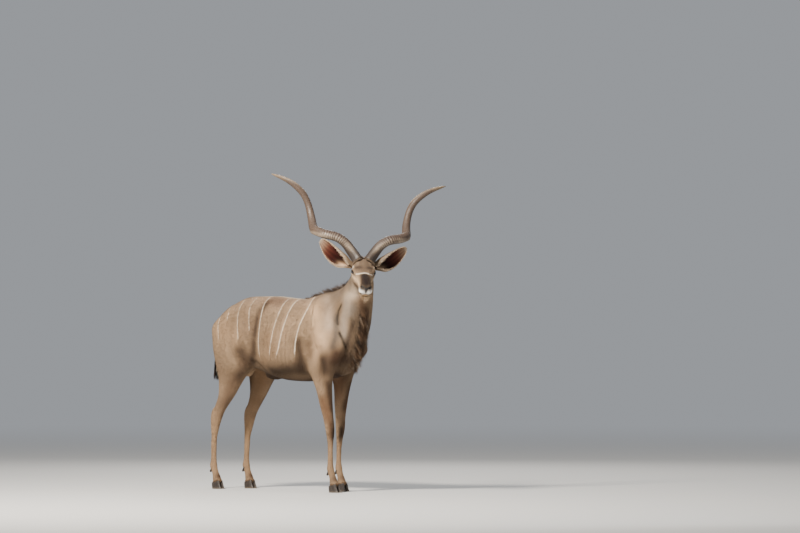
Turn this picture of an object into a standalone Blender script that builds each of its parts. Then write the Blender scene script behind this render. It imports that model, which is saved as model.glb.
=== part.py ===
"""A greater kudu bull, life size, standing with its head turned to its right.

Metres, +X forward along the back, +Y to the animal's left, +Z up. The flesh is a
set of lofts along trunk, neck, head and legs, fused into one surface by a voxel
remesh and then parted by thin plane cuts into its named nodes. Horns, ears, eyes
and hooves are separate solids seated on it.
"""

import math

import bmesh
import bpy
import numpy as np
from mathutils import Matrix, Vector

# Driving sizes in metres and degrees.
GAP = 0.0003
ORIGIN = Vector((0.8744, 0.1196, 0.0))
HEAD_PITCH = 24.0
HEAD_YAW = -39.5
HEAD_ROLL = 4.0
EYE_LEVEL = Vector((1.6165, -0.187, 1.5735))
EYE_SEAT = Vector((0.006, 0.0635, 0.002))
EYE_RADIUS = 0.0215
EYE_GAZE = Vector((0.58, 0.80, 0.12))
LID = 0.0030
HORN_SEAT = Vector((-0.074, 0.039, 0.055))
HORN_ROOT = 0.016
HORN_REACH = {1: Vector((-0.470, 0.542, 0.557)), -1: Vector((-0.470, 0.591, 0.557))}
EAR_SEAT = Vector((-0.100, 0.062, 0.002))
EAR_LENGTH = 0.300
EAR_WIDTH = 0.066
EAR_DROOP = 0.030
CLAW_LENGTH = 0.088
CLAW_WIDTH = 0.034
CLEFT = 0.004
CORONET = 0.056
CORONET_SLOPE = 0.25
FRINGE_LOCKS = 25
MANE_LOCKS = 18
TUFT_LOCKS = 6
LOCK_THICKNESS = 0.009

BODY_VOXEL = 0.009
BODY_FACES = 5000
HEAD_VOXEL = 0.0032
HEAD_FACES = 2400

# Planes that part the nodes: a point on the plane and the direction it faces.
NECK_CUT = (Vector((1.200, 0.000, 1.100)), Vector((0.90, 0.00, 0.43)))
HEAD_CUT = (Vector((1.488, -0.085, 1.455)), Vector((0.52, -0.30, 0.80)))
FORE_CUT = 0.775
HIND_CUT = 0.790
HIND_CUT_SLOPE = 0.10

# Outlines in metres, X from the buttock and Z from the ground.
# Trunk: x and z on the back, x and z on the belly, half width, fullness, taper to the back.
TRUNK = [
    (0.045, 1.130, 0.060, 1.020, 0.050, 2.0, 0.00),
    (0.062, 1.215, 0.080, 0.985, 0.105, 2.0, 0.00),
    (0.115, 1.290, 0.130, 0.955, 0.148, 2.0, -0.15),
    (0.210, 1.362, 0.220, 0.925, 0.188, 2.1, -0.18),
    (0.360, 1.401, 0.370, 0.890, 0.212, 2.2, -0.10),
    (0.600, 1.403, 0.560, 0.828, 0.222, 2.2, -0.05),
    (0.760, 1.390, 0.740, 0.790, 0.238, 2.2, -0.08),
    (0.880, 1.385, 0.890, 0.785, 0.238, 2.2, -0.14),
    (1.010, 1.412, 1.020, 0.797, 0.218, 2.1, -0.28),
    (1.120, 1.440, 1.140, 0.812, 0.192, 2.0, -0.35),
    (1.230, 1.430, 1.250, 0.845, 0.175, 2.0, -0.30),
    (1.320, 1.365, 1.340, 0.915, 0.142, 2.0, -0.15),
    (1.375, 1.270, 1.390, 1.010, 0.100, 2.0, 0.00),
    (1.398, 1.190, 1.403, 1.090, 0.050, 2.0, 0.00),
]
# Neck: nape x y z, throat x y z, half width, fullness, taper.
NECK = [
    (1.030, 0.000, 1.398, 1.210, 0.000, 0.900, 0.120, 2.0, -0.10),
    (1.145, 0.000, 1.440, 1.340, 0.000, 0.965, 0.145, 2.0, -0.20),
    (1.250, -0.005, 1.470, 1.415, -0.010, 1.080, 0.126, 2.0, -0.20),
    (1.345, -0.030, 1.518, 1.472, -0.038, 1.200, 0.110, 2.0, -0.10),
    (1.418, -0.058, 1.565, 1.522, -0.074, 1.310, 0.098, 2.0, -0.05),
    (1.482, -0.086, 1.612, 1.558, -0.107, 1.405, 0.086, 2.0, 0.00),
    (1.525, -0.108, 1.635, 1.572, -0.134, 1.460, 0.070, 2.0, 0.00),
]
# Head in its own frame, from the poll to the lips: distance forward of the eyes,
# height of the top line, height of the jaw line, half width, fullness, taper.
HEAD = [
    (-0.135, 0.018, -0.060, 0.042, 2.0, 0.00),
    (-0.112, 0.052, -0.100, 0.060, 2.1, 0.00),
    (-0.072, 0.072, -0.132, 0.071, 2.2, 0.06),
    (-0.030, 0.068, -0.134, 0.078, 2.3, 0.14),
    (0.005, 0.058, -0.122, 0.079, 2.3, 0.22),
    (0.045, 0.047, -0.107, 0.068, 2.3, 0.22),
    (0.095, 0.036, -0.096, 0.055, 2.3, 0.18),
    (0.145, 0.029, -0.090, 0.048, 2.3, 0.14),
    (0.190, 0.024, -0.088, 0.045, 2.3, 0.12),
    (0.228, 0.017, -0.086, 0.046, 2.3, 0.14),
    (0.252, 0.004, -0.076, 0.043, 2.2, 0.14),
    (0.270, -0.016, -0.056, 0.030, 2.0, 0.10),
]
# Legs: height, x of the front line, x of the back line, y of the middle, half width.
FORELEG = [
    (1.370, 1.215, 1.075, 0.050, 0.030),
    (1.270, 1.285, 1.045, 0.100, 0.060),
    (1.150, 1.355, 1.015, 0.125, 0.080),
    (1.050, 1.380, 1.005, 0.135, 0.085),
    (0.960, 1.345, 1.005, 0.140, 0.080),
    (0.880, 1.288, 1.032, 0.145, 0.072),
    (0.810, 1.264, 1.082, 0.145, 0.060),
    (0.720, 1.252, 1.120, 0.138, 0.053),
    (0.620, 1.250, 1.143, 0.130, 0.046),
    (0.530, 1.252, 1.167, 0.122, 0.039),
    (0.470, 1.257, 1.178, 0.117, 0.038),
    (0.430, 1.255, 1.184, 0.113, 0.036),
    (0.385, 1.247, 1.187, 0.110, 0.030),
    (0.300, 1.239, 1.189, 0.108, 0.0225),
    (0.210, 1.239, 1.187, 0.106, 0.0235),
    (0.165, 1.246, 1.178, 0.105, 0.031),
    (0.125, 1.255, 1.198, 0.104, 0.028),
    (0.090, 1.275, 1.208, 0.103, 0.034),
    (0.035, 1.296, 1.210, 0.103, 0.036),
]
HINDLEG = [
    (1.330, 0.360, 0.200, 0.070, 0.050),
    (1.250, 0.420, 0.115, 0.100, 0.080),
    (1.150, 0.470, 0.058, 0.120, 0.103),
    (1.050, 0.490, 0.067, 0.130, 0.108),
    (0.960, 0.466, 0.088, 0.135, 0.100),
    (0.880, 0.446, 0.112, 0.140, 0.086),
    (0.800, 0.372, 0.132, 0.140, 0.068),
    (0.740, 0.325, 0.132, 0.140, 0.058),
    (0.680, 0.280, 0.122, 0.139, 0.050),
    (0.620, 0.223, 0.090, 0.137, 0.043),
    (0.575, 0.184, 0.052, 0.135, 0.039),
    (0.550, 0.163, 0.040, 0.133, 0.038),
    (0.500, 0.136, 0.035, 0.132, 0.036),
    (0.440, 0.111, 0.034, 0.130, 0.031),
    (0.360, 0.089, 0.031, 0.128, 0.024),
    (0.220, 0.081, 0.028, 0.125, 0.024),
    (0.165, 0.084, 0.014, 0.124, 0.032),
    (0.125, 0.096, 0.036, 0.123, 0.028),
    (0.090, 0.116, 0.046, 0.122, 0.034),
    (0.035, 0.136, 0.048, 0.122, 0.036),
]
# How far each left leg stands off from the right one: height and shift in x.
FORE_STAGGER = [(1.30, 0.0), (0.85, -0.075), (0.68, -0.10), (0.50, -0.12), (0.0, -0.12)]
HIND_STAGGER = [(1.25, 0.0), (0.90, 0.025), (0.68, 0.045), (0.56, 0.072), (0.45, 0.085), (0.0, 0.09)]
# Feet: x of the middle of the foot on the ground and its y, front then hind, on the right side.
FORE_FOOT = (1.262, 0.103)
HIND_FOOT = (0.101, 0.122)
# Horn: share of the reach, turn of the coil in degrees, coil radius, horn radius, turn of the keel.
HORN = [
    (0.000, 0.0, 0.000, 0.0410, 60.0),
    (0.100, 32.0, 0.019, 0.0380, 80.0),
    (0.190, 65.0, 0.048, 0.0350, 105.0),
    (0.245, 86.0, 0.0585, 0.0340, 120.0),
    (0.345, 135.0, 0.0595, 0.0330, 150.0),
    (0.415, 165.0, 0.0595, 0.0325, 175.0),
    (0.480, 211.0, 0.0595, 0.0315, 215.0),
    (0.535, 246.0, 0.0615, 0.0300, 248.0),
    (0.620, 288.0, 0.0650, 0.0268, 288.0),
    (0.728, 341.0, 0.0670, 0.0236, 341.0),
    (0.820, 378.0, 0.0650, 0.0205, 378.0),
    (0.910, 415.0, 0.0650, 0.0150, 415.0),
    (0.965, 437.0, 0.0650, 0.0090, 437.0),
    (1.000, 450.0, 0.0650, 0.0025, 450.0),
]
# Tail: height, x of the back line, x of the front line, half width.
TAIL = [
    (1.235, 0.000, 0.080, 0.034),
    (1.200, -0.030, 0.040, 0.030),
    (1.120, -0.050, 0.000, 0.022),
    (1.020, -0.056, -0.014, 0.018),
    (0.905, -0.053, -0.015, 0.016),
    (0.860, -0.062, -0.008, 0.021),
    (0.820, -0.058, -0.014, 0.017),
    (0.785, -0.045, -0.028, 0.006),
]
# Throat fringe: edge x y z, root x y z inside the throat, half thickness.
FRINGE = [
    (1.578, -0.128, 1.375, 1.535, -0.105, 1.430, 0.008),
    (1.562, -0.092, 1.260, 1.495, -0.070, 1.340, 0.011),
    (1.530, -0.052, 1.140, 1.440, -0.036, 1.225, 0.013),
    (1.500, -0.015, 1.040, 1.385, -0.010, 1.120, 0.014),
    (1.464, 0.000, 0.950, 1.320, 0.000, 1.020, 0.014),
    (1.424, 0.000, 0.878, 1.300, 0.000, 0.960, 0.013),
    (1.372, 0.000, 0.835, 1.310, 0.000, 0.930, 0.010),
]
# Mane along the nape and withers: edge x y z, root x y z, half thickness.
MANE = [
    (0.860, 0.000, 1.392, 0.865, 0.000, 1.360, 0.006),
    (0.960, 0.000, 1.426, 0.975, 0.000, 1.370, 0.010),
    (1.090, 0.000, 1.466, 1.110, 0.000, 1.400, 0.012),
    (1.230, -0.004, 1.494, 1.260, -0.006, 1.430, 0.012),
    (1.330, -0.028, 1.538, 1.370, -0.032, 1.480, 0.011),
    (1.405, -0.056, 1.584, 1.440, -0.062, 1.530, 0.009),
    (1.465, -0.084, 1.620, 1.500, -0.090, 1.570, 0.005),
]


def steady_spline(x, y, at):
    """Cubic through the points (x, y) that never overshoots them, read at `at`."""
    x, y = np.asarray(x, float), np.asarray(y, float)
    step = np.diff(x)
    slope = np.diff(y, axis=0) / step[:, None]
    before, after = slope[:-1], slope[1:]
    safe = np.where(before * after > 0, before + after, 1.0)
    inner = np.where(before * after > 0, 2 * before * after / safe, 0.0)
    tangent = np.vstack([slope[:1], inner, slope[-1:]])
    i = np.clip(np.searchsorted(x, at, side="right") - 1, 0, len(x) - 2)
    t = ((at - x[i]) / step[i])[:, None]
    h = step[i][:, None]
    return (
        (1 + 2 * t) * (1 - t) ** 2 * y[i]
        + t * (1 - t) ** 2 * h * tangent[i]
        + t * t * (3 - 2 * t) * y[i + 1]
        + t * t * (t - 1) * h * tangent[i + 1]
    )


def loft(ribs, rings, around):
    """Points and faces of a closed tube through `ribs`.

    A rib is a point on one outline, the point facing it, the half width across,
    the fullness of its superellipse (2 is an ellipse) and the share by which it
    widens towards the first point.
    """
    rows = np.array([[*a, *b, *rest] for a, b, *rest in ribs], float)
    middle = (rows[:, :3] + rows[:, 3:6]) / 2
    along = np.r_[0, np.cumsum(np.linalg.norm(np.diff(middle, axis=0), axis=1))]
    rows = steady_spline(along, rows, np.linspace(0, along[-1], rings))
    first, second = rows[:, :3], rows[:, 3:6]
    middle, half = (first + second) / 2, (first - second) / 2
    course = np.gradient(middle, axis=0)
    side = np.cross(half, course)
    side /= np.linalg.norm(side, axis=1)[:, None]
    angle = np.linspace(0, 2 * math.pi, around, endpoint=False)
    rise, reach = np.sin(angle), np.cos(angle)
    power = 2 / rows[:, 7:8]
    up = np.sign(rise) * np.abs(rise) ** power
    out = np.sign(reach) * np.abs(reach) ** power * (1 + rows[:, 8:9] * rise)
    points = (
        middle[:, None]
        + up[..., None] * half[:, None]
        + out[..., None] * (side * rows[:, 6:7])[:, None]
    )
    return points.reshape(-1, 3), tube_faces(rings, around)


def tube_faces(rings, around):
    """Quads between rings of points, with a flat cap on each end."""
    ring, spoke = np.meshgrid(np.arange(rings - 1), np.arange(around), indexing="ij")
    here, beside = ring * around + spoke, ring * around + (spoke + 1) % around
    quads = np.stack([here, beside, beside + around, here + around], -1)
    last = (rings - 1) * around
    caps = [list(range(around))[::-1], list(range(last, last + around))]
    return quads.reshape(-1, 4).tolist() + caps


def make_object(name, points, faces):
    """A new mesh object with its faces turned outwards."""
    mesh = bpy.data.meshes.new(name)
    mesh.from_pydata(np.asarray(points).tolist(), [], faces)
    work = bmesh.new()
    work.from_mesh(mesh)
    bmesh.ops.recalc_face_normals(work, faces=work.faces)
    bmesh.ops.triangulate(work, faces=work.faces)
    work.to_mesh(mesh)
    work.free()
    made = bpy.data.objects.new(name, mesh)
    bpy.context.scene.collection.objects.link(made)
    return made


def joined(name, parts):
    """One object from several closed meshes, not yet fused."""
    points, faces, start = [], [], 0
    for part_points, part_faces in parts:
        points.append(np.asarray(part_points))
        faces += [[i + start for i in face] for face in part_faces]
        start += len(part_points)
    return make_object(name, np.vstack(points), faces)


def apply_modifiers(made):
    """Replaces an object's mesh by what its modifiers make of it."""
    bpy.context.view_layer.update()
    graph = bpy.context.evaluated_depsgraph_get()
    mesh = bpy.data.meshes.new_from_object(made.evaluated_get(graph))
    made.modifiers.clear()
    made.data = mesh
    return made


def fuse(made, voxel, rounds):
    """Fuses overlapping closed shapes into one skin and softens the joins."""
    remesh = made.modifiers.new("fuse", "REMESH")
    remesh.mode = "VOXEL"
    remesh.voxel_size = voxel
    soften = made.modifiers.new("soften", "SMOOTH")
    soften.factor = 0.5
    soften.iterations = rounds
    return apply_modifiers(made)


def stagger_of(table, height):
    """Shift in x of a left leg at each height, between the table's rows."""
    rows = np.array(sorted(table))
    return float(np.interp(height, rows[:, 0], rows[:, 1]))


def leg_ribs(table, side, stagger):
    """Ribs of one leg. `side` is 1 for the left and -1 for the right."""
    ribs = []
    for z, front, back, y, half in table:
        shift = stagger_of(stagger, z) if side > 0 else 0.0
        first, second = (front + shift, side * y, z), (back + shift, side * y, z)
        ribs.append((first, second, half, 2.0, 0.0))
    return ribs


def level_frame():
    """Turn from the head's level axes (forward, left, up) to the model."""
    yaw = Matrix.Rotation(math.radians(HEAD_YAW), 4, "Z")
    return yaw @ Matrix.Rotation(math.radians(-HEAD_ROLL), 4, "X")


def head_frame():
    """Matrix from head coordinates (forward along the face, left, up) to the model."""
    pitch = Matrix.Rotation(math.radians(HEAD_PITCH), 4, "Y")
    return Matrix.Translation(EYE_LEVEL) @ level_frame() @ pitch


def to_model(points):
    """Head coordinates to model coordinates, for an array of points."""
    frame = np.array(head_frame())
    return np.asarray(points, float) @ frame[:3, :3].T + frame[:3, 3]


def head_ribs():
    ribs = []
    for f, top, jaw, *rest in HEAD:
        first, second = to_model([(f, 0, top), (f, 0, jaw)])
        ribs.append((tuple(first), tuple(second), *rest))
    return ribs


def trunk_ribs():
    return [((a, 0, b), (c, 0, d), *rest) for a, b, c, d, *rest in TRUNK]


def neck_ribs():
    return [(row[:3], row[3:6], *row[6:]) for row in NECK]


def core(rows, share):
    """The dense base of long hair: a thin ridge from the root rows `share` of the way out."""
    ribs = []
    for row in rows:
        edge, root = np.array(row[:3]), np.array(row[3:6])
        ribs.append((tuple(root + (edge - root) * share), tuple(root), row[6], 2.0, 0.0))
    return loft(ribs, 10, 6)


def lock(root, tip, bow, width, across):
    """A flat lock of hair from `root` to `tip`, bowed by `bow`, `width` wide along `across`."""
    ribs = []
    for share, breadth, depth in ((0, 0.75, 0.9), (0.4, 1.0, 1.0), (0.75, 0.7, 0.7), (1, 0.1, 0.16)):
        middle = root + (tip - root) * share + bow * math.sin(share * math.pi)
        reach = across * (width / 2 * breadth)
        ribs.append((tuple(middle + reach), tuple(middle - reach), LOCK_THICKNESS / 2 * depth, 2.0, 0.0))
    return loft(ribs, 4, 4)


def hair(name, rows, count, lead, spread, width, draws):
    """Locks set in turn on the left, the middle and the right of a strip of long hair.

    A row of the strip has the outer edge and the root of the hair. Each lock runs
    from the root to the edge, `lead` of the strip further on, and stands `spread` off
    the middle. Locks beside the middle are shorter.
    """
    table = np.array(rows)
    at = np.linspace(0, 1, len(rows))
    made = []
    for i in range(count):
        place = (i + 0.5) / count * (1 - abs(lead)) + max(0, -lead)
        flank = (0, 1, -1)[i % 3]
        here = np.array([place, np.clip(place + lead * draws.uniform(0.7, 1.2), 0, 1)])
        row = steady_spline(at, table, here)
        run = steady_spline(at, table, np.array([max(0, place - 0.04), min(1, place + 0.04)]))
        across = run[1, :3] - run[0, :3]
        across /= np.linalg.norm(across)
        root, tip = row[0, 3:6], row[1, :3]
        side = np.cross(tip - root, across)
        side /= np.linalg.norm(side)
        tip = root + (tip - root) * (draws.uniform(0.93, 1.0) - 0.09 * abs(flank))
        root = root + side * spread * flank
        tip = tip + side * (spread * 0.7 * flank + draws.uniform(-0.004, 0.004))
        bow = across * draws.uniform(-0.006, 0.002) + side * draws.uniform(-0.004, 0.004)
        across = across + side * draws.uniform(-0.18, 0.18)
        points, faces = lock(root, tip, bow, width * draws.uniform(0.85, 1.15), across)
        made.append(make_object(name, points, faces))
    return made


def tuft(draws):
    """Locks round the end of the tail, hanging to its tip."""
    made = []
    for i in range(TUFT_LOCKS):
        angle = 2 * math.pi * i / TUFT_LOCKS
        out = np.array((math.cos(angle), math.sin(angle), 0.0))
        across = np.array((-math.sin(angle), math.cos(angle), 0.0))
        top = 0.895 - 0.035 * (i % 2)
        root = np.array((-0.035, 0.0, top)) + out * 0.006
        low = 0.800 - 0.022 * ((i * 3) % 4) / 3
        tip = np.array((-0.038, 0.0, low)) + out * (0.018 + draws.uniform(-0.003, 0.003))
        points, faces = lock(root, tip, out * 0.013, 0.030, across)
        made.append(make_object("tuft", points, faces))
    return made


def beard(draws):
    """A few short locks hanging from the chin."""
    made = []
    for f, l, length in ((0.240, 0.0, 0.058), (0.222, 0.011, 0.066), (0.218, -0.011, 0.063), (0.198, 0.0, 0.072)):
        root = to_model([(f, l, -0.066)])[0]
        tip = root + np.array((draws.uniform(-0.004, 0.004), draws.uniform(-0.004, 0.004), -length))
        across = to_model([(f, l + 1.0, -0.066)])[0] - root
        points, faces = lock(root, tip, across * 0.002, 0.026, across)
        made.append(make_object("beard", points, faces))
    return made


def tail_ribs():
    ribs = []
    for z, back, front, half in TAIL:
        ribs.append(((back, 0, z), (front, 0, z), half, 2.0, 0.0))
    return ribs


def legs():
    """The four legs as tubes, right and left."""
    tubes = []
    for table, stagger in ((FORELEG, FORE_STAGGER), (HINDLEG, HIND_STAGGER)):
        for side in (-1, 1):
            tubes.append(loft(leg_ribs(table, side, stagger), 60, 20))
    return tubes


def dewclaws():
    """A pair of small blunt claws behind each pastern."""
    pegs = []
    for foot, stagger in ((FORE_FOOT, FORE_STAGGER), (HIND_FOOT, HIND_STAGGER)):
        for side in (-1, 1):
            shift = stagger_of(stagger, 0.1) if side > 0 else 0.0
            for apart in (-0.019, 0.019):
                x, y = foot[0] + shift, foot[1] * side + apart
                top, low = (x - 0.040, y, 0.150), (x - 0.066, y + apart * 0.25, 0.112)
                pegs.append(peg(top, low, 0.014, 0.010))
    return pegs


def peg(top, low, first_radius, last_radius):
    """A short blunt tube from `top` to `low`."""
    top, low = np.array(top), np.array(low)
    ribs = []
    for share, radius in ((0, first_radius), (0.7, last_radius), (1, last_radius * 0.5)):
        middle = top + (low - top) * share
        offset = np.array((radius, 0, radius * 0.4))
        ribs.append((tuple(middle + offset), tuple(middle - offset), radius, 2.0, 0.0))
    return loft(ribs, 6, 10)


def ball(centre, radii, segments, rings):
    """An ellipsoid as points and faces."""
    work = bmesh.new()
    bmesh.ops.create_uvsphere(work, u_segments=segments, v_segments=rings, radius=1.0)
    points = np.array([vert.co for vert in work.verts]) * radii + centre
    faces = [[vert.index for vert in face.verts] for face in work.faces]
    work.free()
    return points, faces


def trunk_and_limbs():
    """Every fleshy part as overlapping tubes."""
    return [
        loft(trunk_ribs(), 48, 40),
        loft(neck_ribs(), 28, 32),
        loft(head_ribs(), 40, 32),
        *legs(),
        *dewclaws(),
        ball((0.560, 0, 0.835), (0.110, 0.034, 0.045), 14, 10),
        ball((0.285, 0, 0.880), (0.055, 0.046, 0.075), 14, 10),
    ]


def remove_object(old):
    bpy.data.objects.remove(old)


def boolean(made, other, operation):
    """Joins `other` to `made`, cuts it out or keeps the overlap, then drops `other`."""
    step = made.modifiers.new("boolean", "BOOLEAN")
    step.operation = operation
    step.solver = "EXACT"
    step.object = other
    apply_modifiers(made)
    remove_object(other)
    return made


def grow(made, pieces):
    """Fuses many closed pieces to `made` in one union and drops them."""
    group = bpy.data.collections.new("pieces")
    bpy.context.scene.collection.children.link(group)
    for piece in pieces:
        group.objects.link(piece)
    step = made.modifiers.new("union", "BOOLEAN")
    step.operation = "UNION"
    step.operand_type = "COLLECTION"
    step.solver = "EXACT"
    step.collection = group
    apply_modifiers(made)
    for piece in pieces:
        remove_object(piece)
    bpy.data.collections.remove(group)
    return keep_largest(made)


def swollen(solid):
    """A plug a little larger than the solid that it makes room for."""
    plug = copy_of(solid, "plug")
    mesh = plug.data
    count = len(mesh.vertices)
    points, normals = np.empty(count * 3), np.empty(count * 3)
    mesh.vertices.foreach_get("co", points)
    mesh.vertex_normals.foreach_get("vector", normals)
    mesh.vertices.foreach_set("co", points + normals * GAP * 1.3)
    mesh.update()
    return plug


def cube(name, matrix):
    """A cube of one metre placed, turned and stretched by `matrix`."""
    mesh = bpy.data.meshes.new(name)
    work = bmesh.new()
    bmesh.ops.create_cube(work, size=1.0, matrix=matrix)
    work.to_mesh(mesh)
    work.free()
    made = bpy.data.objects.new(name, mesh)
    bpy.context.scene.collection.objects.link(made)
    return made


def slab(point, facing, reach, offset):
    """A large cube on the far side of a plane, shifted by `offset` along its facing."""
    facing = Vector(facing).normalized()
    centre = Vector(point) + facing * (reach / 2 + offset)
    turn = facing.to_track_quat("Z", "Y").to_matrix().to_4x4()
    return cube("slab", Matrix.Translation(centre) @ turn @ Matrix.Scale(reach, 4))


def block(low, high, tops):
    """A box between two corners whose top follows z = tops[0] + tops[1] * x."""
    low, high = Vector(low), Vector(high)
    middle, spans = (low + high) / 2, high - low
    spans.z = 1.0
    made = cube("block", Matrix.Translation(middle) @ Matrix.Diagonal((*spans, 1.0)))
    for vert in made.data.vertices:
        if vert.co.z < middle.z:
            vert.co.z = low.z
        else:
            vert.co.z = tops[0] + tops[1] * vert.co.x
    return made


def copy_of(made, name):
    twin = made.copy()
    twin.data = made.data.copy()
    twin.name = name
    bpy.context.scene.collection.objects.link(twin)
    return twin


def keep_largest(made):
    """Drops every loose piece of a mesh but the largest."""
    work = bmesh.new()
    work.from_mesh(made.data)
    left = set(work.verts)
    pieces = []
    while left:
        front = [left.pop()]
        piece = list(front)
        while front:
            grown = []
            for vert in front:
                for edge in vert.link_edges:
                    other = edge.other_vert(vert)
                    if other in left:
                        left.discard(other)
                        grown.append(other)
            piece += grown
            front = grown
        pieces.append(piece)
    pieces.sort(key=len)
    for piece in pieces[:-1]:
        bmesh.ops.delete(work, geom=piece, context="VERTS")
    work.to_mesh(made.data)
    work.free()
    return made


def thin_out(made, faces):
    """Fewer, larger triangles where the surface is calm."""
    made.modifiers.new("triangles", "TRIANGULATE")
    apply_modifiers(made)
    collapse = made.modifiers.new("collapse", "DECIMATE")
    collapse.ratio = faces / len(made.data.polygons)
    collapse.use_collapse_triangulate = True
    return apply_modifiers(made)


def near_path(points, path):
    """Distance of each point from a broken line."""
    path = np.asarray(path, float)
    if len(path) == 1:
        return np.linalg.norm(points - path[0], axis=1)
    best = np.full(len(points), 1e9)
    for start, end in zip(path[:-1], path[1:]):
        run = end - start
        share = np.clip(((points - start) @ run) / (run @ run), 0, 1)
        away = np.linalg.norm(points - start - share[:, None] * run, axis=1)
        best = np.minimum(best, away)
    return best


def model_by_strokes(made, strokes):
    """Raises or sinks the skin along its normals near each stroke's path."""
    mesh = made.data
    count = len(mesh.vertices)
    points, normals = np.empty(count * 3), np.empty(count * 3)
    mesh.vertices.foreach_get("co", points)
    mesh.vertex_normals.foreach_get("vector", normals)
    points, normals = points.reshape(-1, 3), normals.reshape(-1, 3)
    lift = np.zeros(count)
    for path, radius, height in strokes:
        lift += height * np.exp(-((near_path(points, path) / radius) ** 2))
    mesh.vertices.foreach_set("co", (points + normals * lift[:, None]).ravel())
    mesh.update()
    return made


# Modelling of the head in its own coordinates on the left side: path, radius, height.
FACE_STROKES = [
    ([(-0.035, 0.072, 0.030), (-0.005, 0.078, 0.036), (0.030, 0.066, 0.026)], 0.012, 0.007),
    ([(0.002, 0.076, 0.000)], 0.030, 0.008),
    ([(-0.060, 0.068, 0.012)], 0.018, -0.006),
    ([(0.045, 0.062, -0.018), (0.100, 0.050, -0.022)], 0.014, -0.004),
    ([(-0.035, 0.074, -0.075)], 0.035, 0.006),
    ([(0.105, 0.052, -0.045), (0.170, 0.046, -0.050)], 0.018, -0.004),
    ([(0.232, 0.042, -0.020), (0.240, 0.036, -0.040)], 0.016, 0.004),
    ([(-0.095, 0.064, 0.020)], 0.022, 0.006),
    ([(0.242, 0.028, 0.002)], 0.014, 0.004),
]
# Modelling of the body on the right side: path, radius, height.
BODY_STROKES = [
    ([(1.180, -0.110, 1.320), (1.240, -0.150, 1.190), (1.305, -0.150, 1.060)], 0.035, -0.018),
    ([(1.070, -0.130, 1.370), (1.180, -0.190, 1.130), (1.270, -0.175, 1.020)], 0.045, 0.014),
    ([(0.955, -0.230, 1.250), (0.990, -0.235, 1.020), (1.030, -0.210, 0.900)], 0.045, -0.010),
    ([(0.420, -0.180, 1.310)], 0.060, 0.014),
    ([(0.520, -0.215, 1.180), (0.520, -0.195, 0.980)], 0.070, -0.014),
    ([(0.480, -0.140, 0.930), (0.540, -0.150, 0.880)], 0.040, -0.012),
    ([(0.100, -0.135, 0.620), (0.150, -0.138, 0.700)], 0.022, -0.005),
    ([(0.100, -0.170, 1.180)], 0.060, 0.008),
]


def mirrored(strokes):
    """Each stroke and its twin on the other side."""
    both = []
    for path, radius, height in strokes:
        both.append((path, radius, height))
        both.append(([(x, -y, z) for x, y, z in path], radius, height))
    return both


def face_strokes():
    strokes = []
    for path, radius, height in mirrored(FACE_STROKES):
        strokes.append((to_model(path), radius, height))
    return strokes


def eye_centre(side):
    return Vector(to_model([(EYE_SEAT.x, EYE_SEAT.y * side, EYE_SEAT.z)])[0])


def eye_axes(side):
    """Outward gaze, the line from corner to corner of the lids, and across it."""
    gaze = Vector((EYE_GAZE.x, EYE_GAZE.y * side, EYE_GAZE.z)).normalized()
    corner = Vector((0.93, 0.0, -0.30))
    corner = (corner - gaze * corner.dot(gaze)).normalized()
    turn = head_frame().to_3x3()
    return turn @ gaze, turn @ corner, turn @ gaze.cross(corner)


def eyeball(name, side, radius):
    points, faces = ball(eye_centre(side), (radius,) * 3, 12, 9)
    return make_object(name, points, faces)


def lid_opening(side):
    """An almond shaped plug that opens the lids in front of the eye."""
    gaze, corner, across = eye_axes(side)
    centre = eye_centre(side)
    points = []
    count = 16
    for depth, spread in ((0.010, 0.92), (0.034, 1.25)):
        for i in range(count):
            angle = 2 * math.pi * i / count
            reach = math.cos(angle) * 0.0190
            rise = math.sin(angle) * 0.0120 * (1 - 0.25 * math.cos(angle) ** 2)
            offset = corner * reach * spread + across * rise * spread
            points.append(centre + gaze * depth + offset)
    return make_object("opening", points, tube_faces(2, count))


def mouth_line():
    """A thin curved blade that parts the lips from corner to corner."""
    ribs = []
    for turn in np.linspace(-1, 1, 13):
        bend = abs(turn)
        angle = turn * math.pi / 2
        f = 0.205 + 0.062 * math.cos(angle) ** 0.8 - 0.030 * max(0.0, bend - 0.7)
        l = 0.044 * math.sin(angle)
        u = -0.050 - 0.006 * bend
        inward = np.array((math.cos(angle), math.sin(angle) * 0.9, 0.0))
        middle = np.array((f, l, u))
        outer, inner = to_model([middle + inward * 0.014, middle - inward * 0.007])
        ribs.append((tuple(outer), tuple(inner), 0.0014, 2.0, 0.0))
    return make_object("mouth", *loft(ribs, 25, 6))


def nostril(side):
    """A curved plug that hollows one nostril."""
    path = [(0.275, 0.014, -0.016), (0.262, 0.024, -0.008), (0.246, 0.034, -0.004), (0.236, 0.046, -0.012)]
    widths = (0.0035, 0.0060, 0.0055, 0.0030)
    ribs = []
    for (f, l, u), half in zip(path, widths):
        first, second = to_model([(f, l * side, u + half), (f - 0.002, l * side, u - half)])
        ribs.append((tuple(first), tuple(second), half * 1.1, 2.0, 0.0))
    return make_object("nostril", *loft(ribs, 9, 10))


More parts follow.
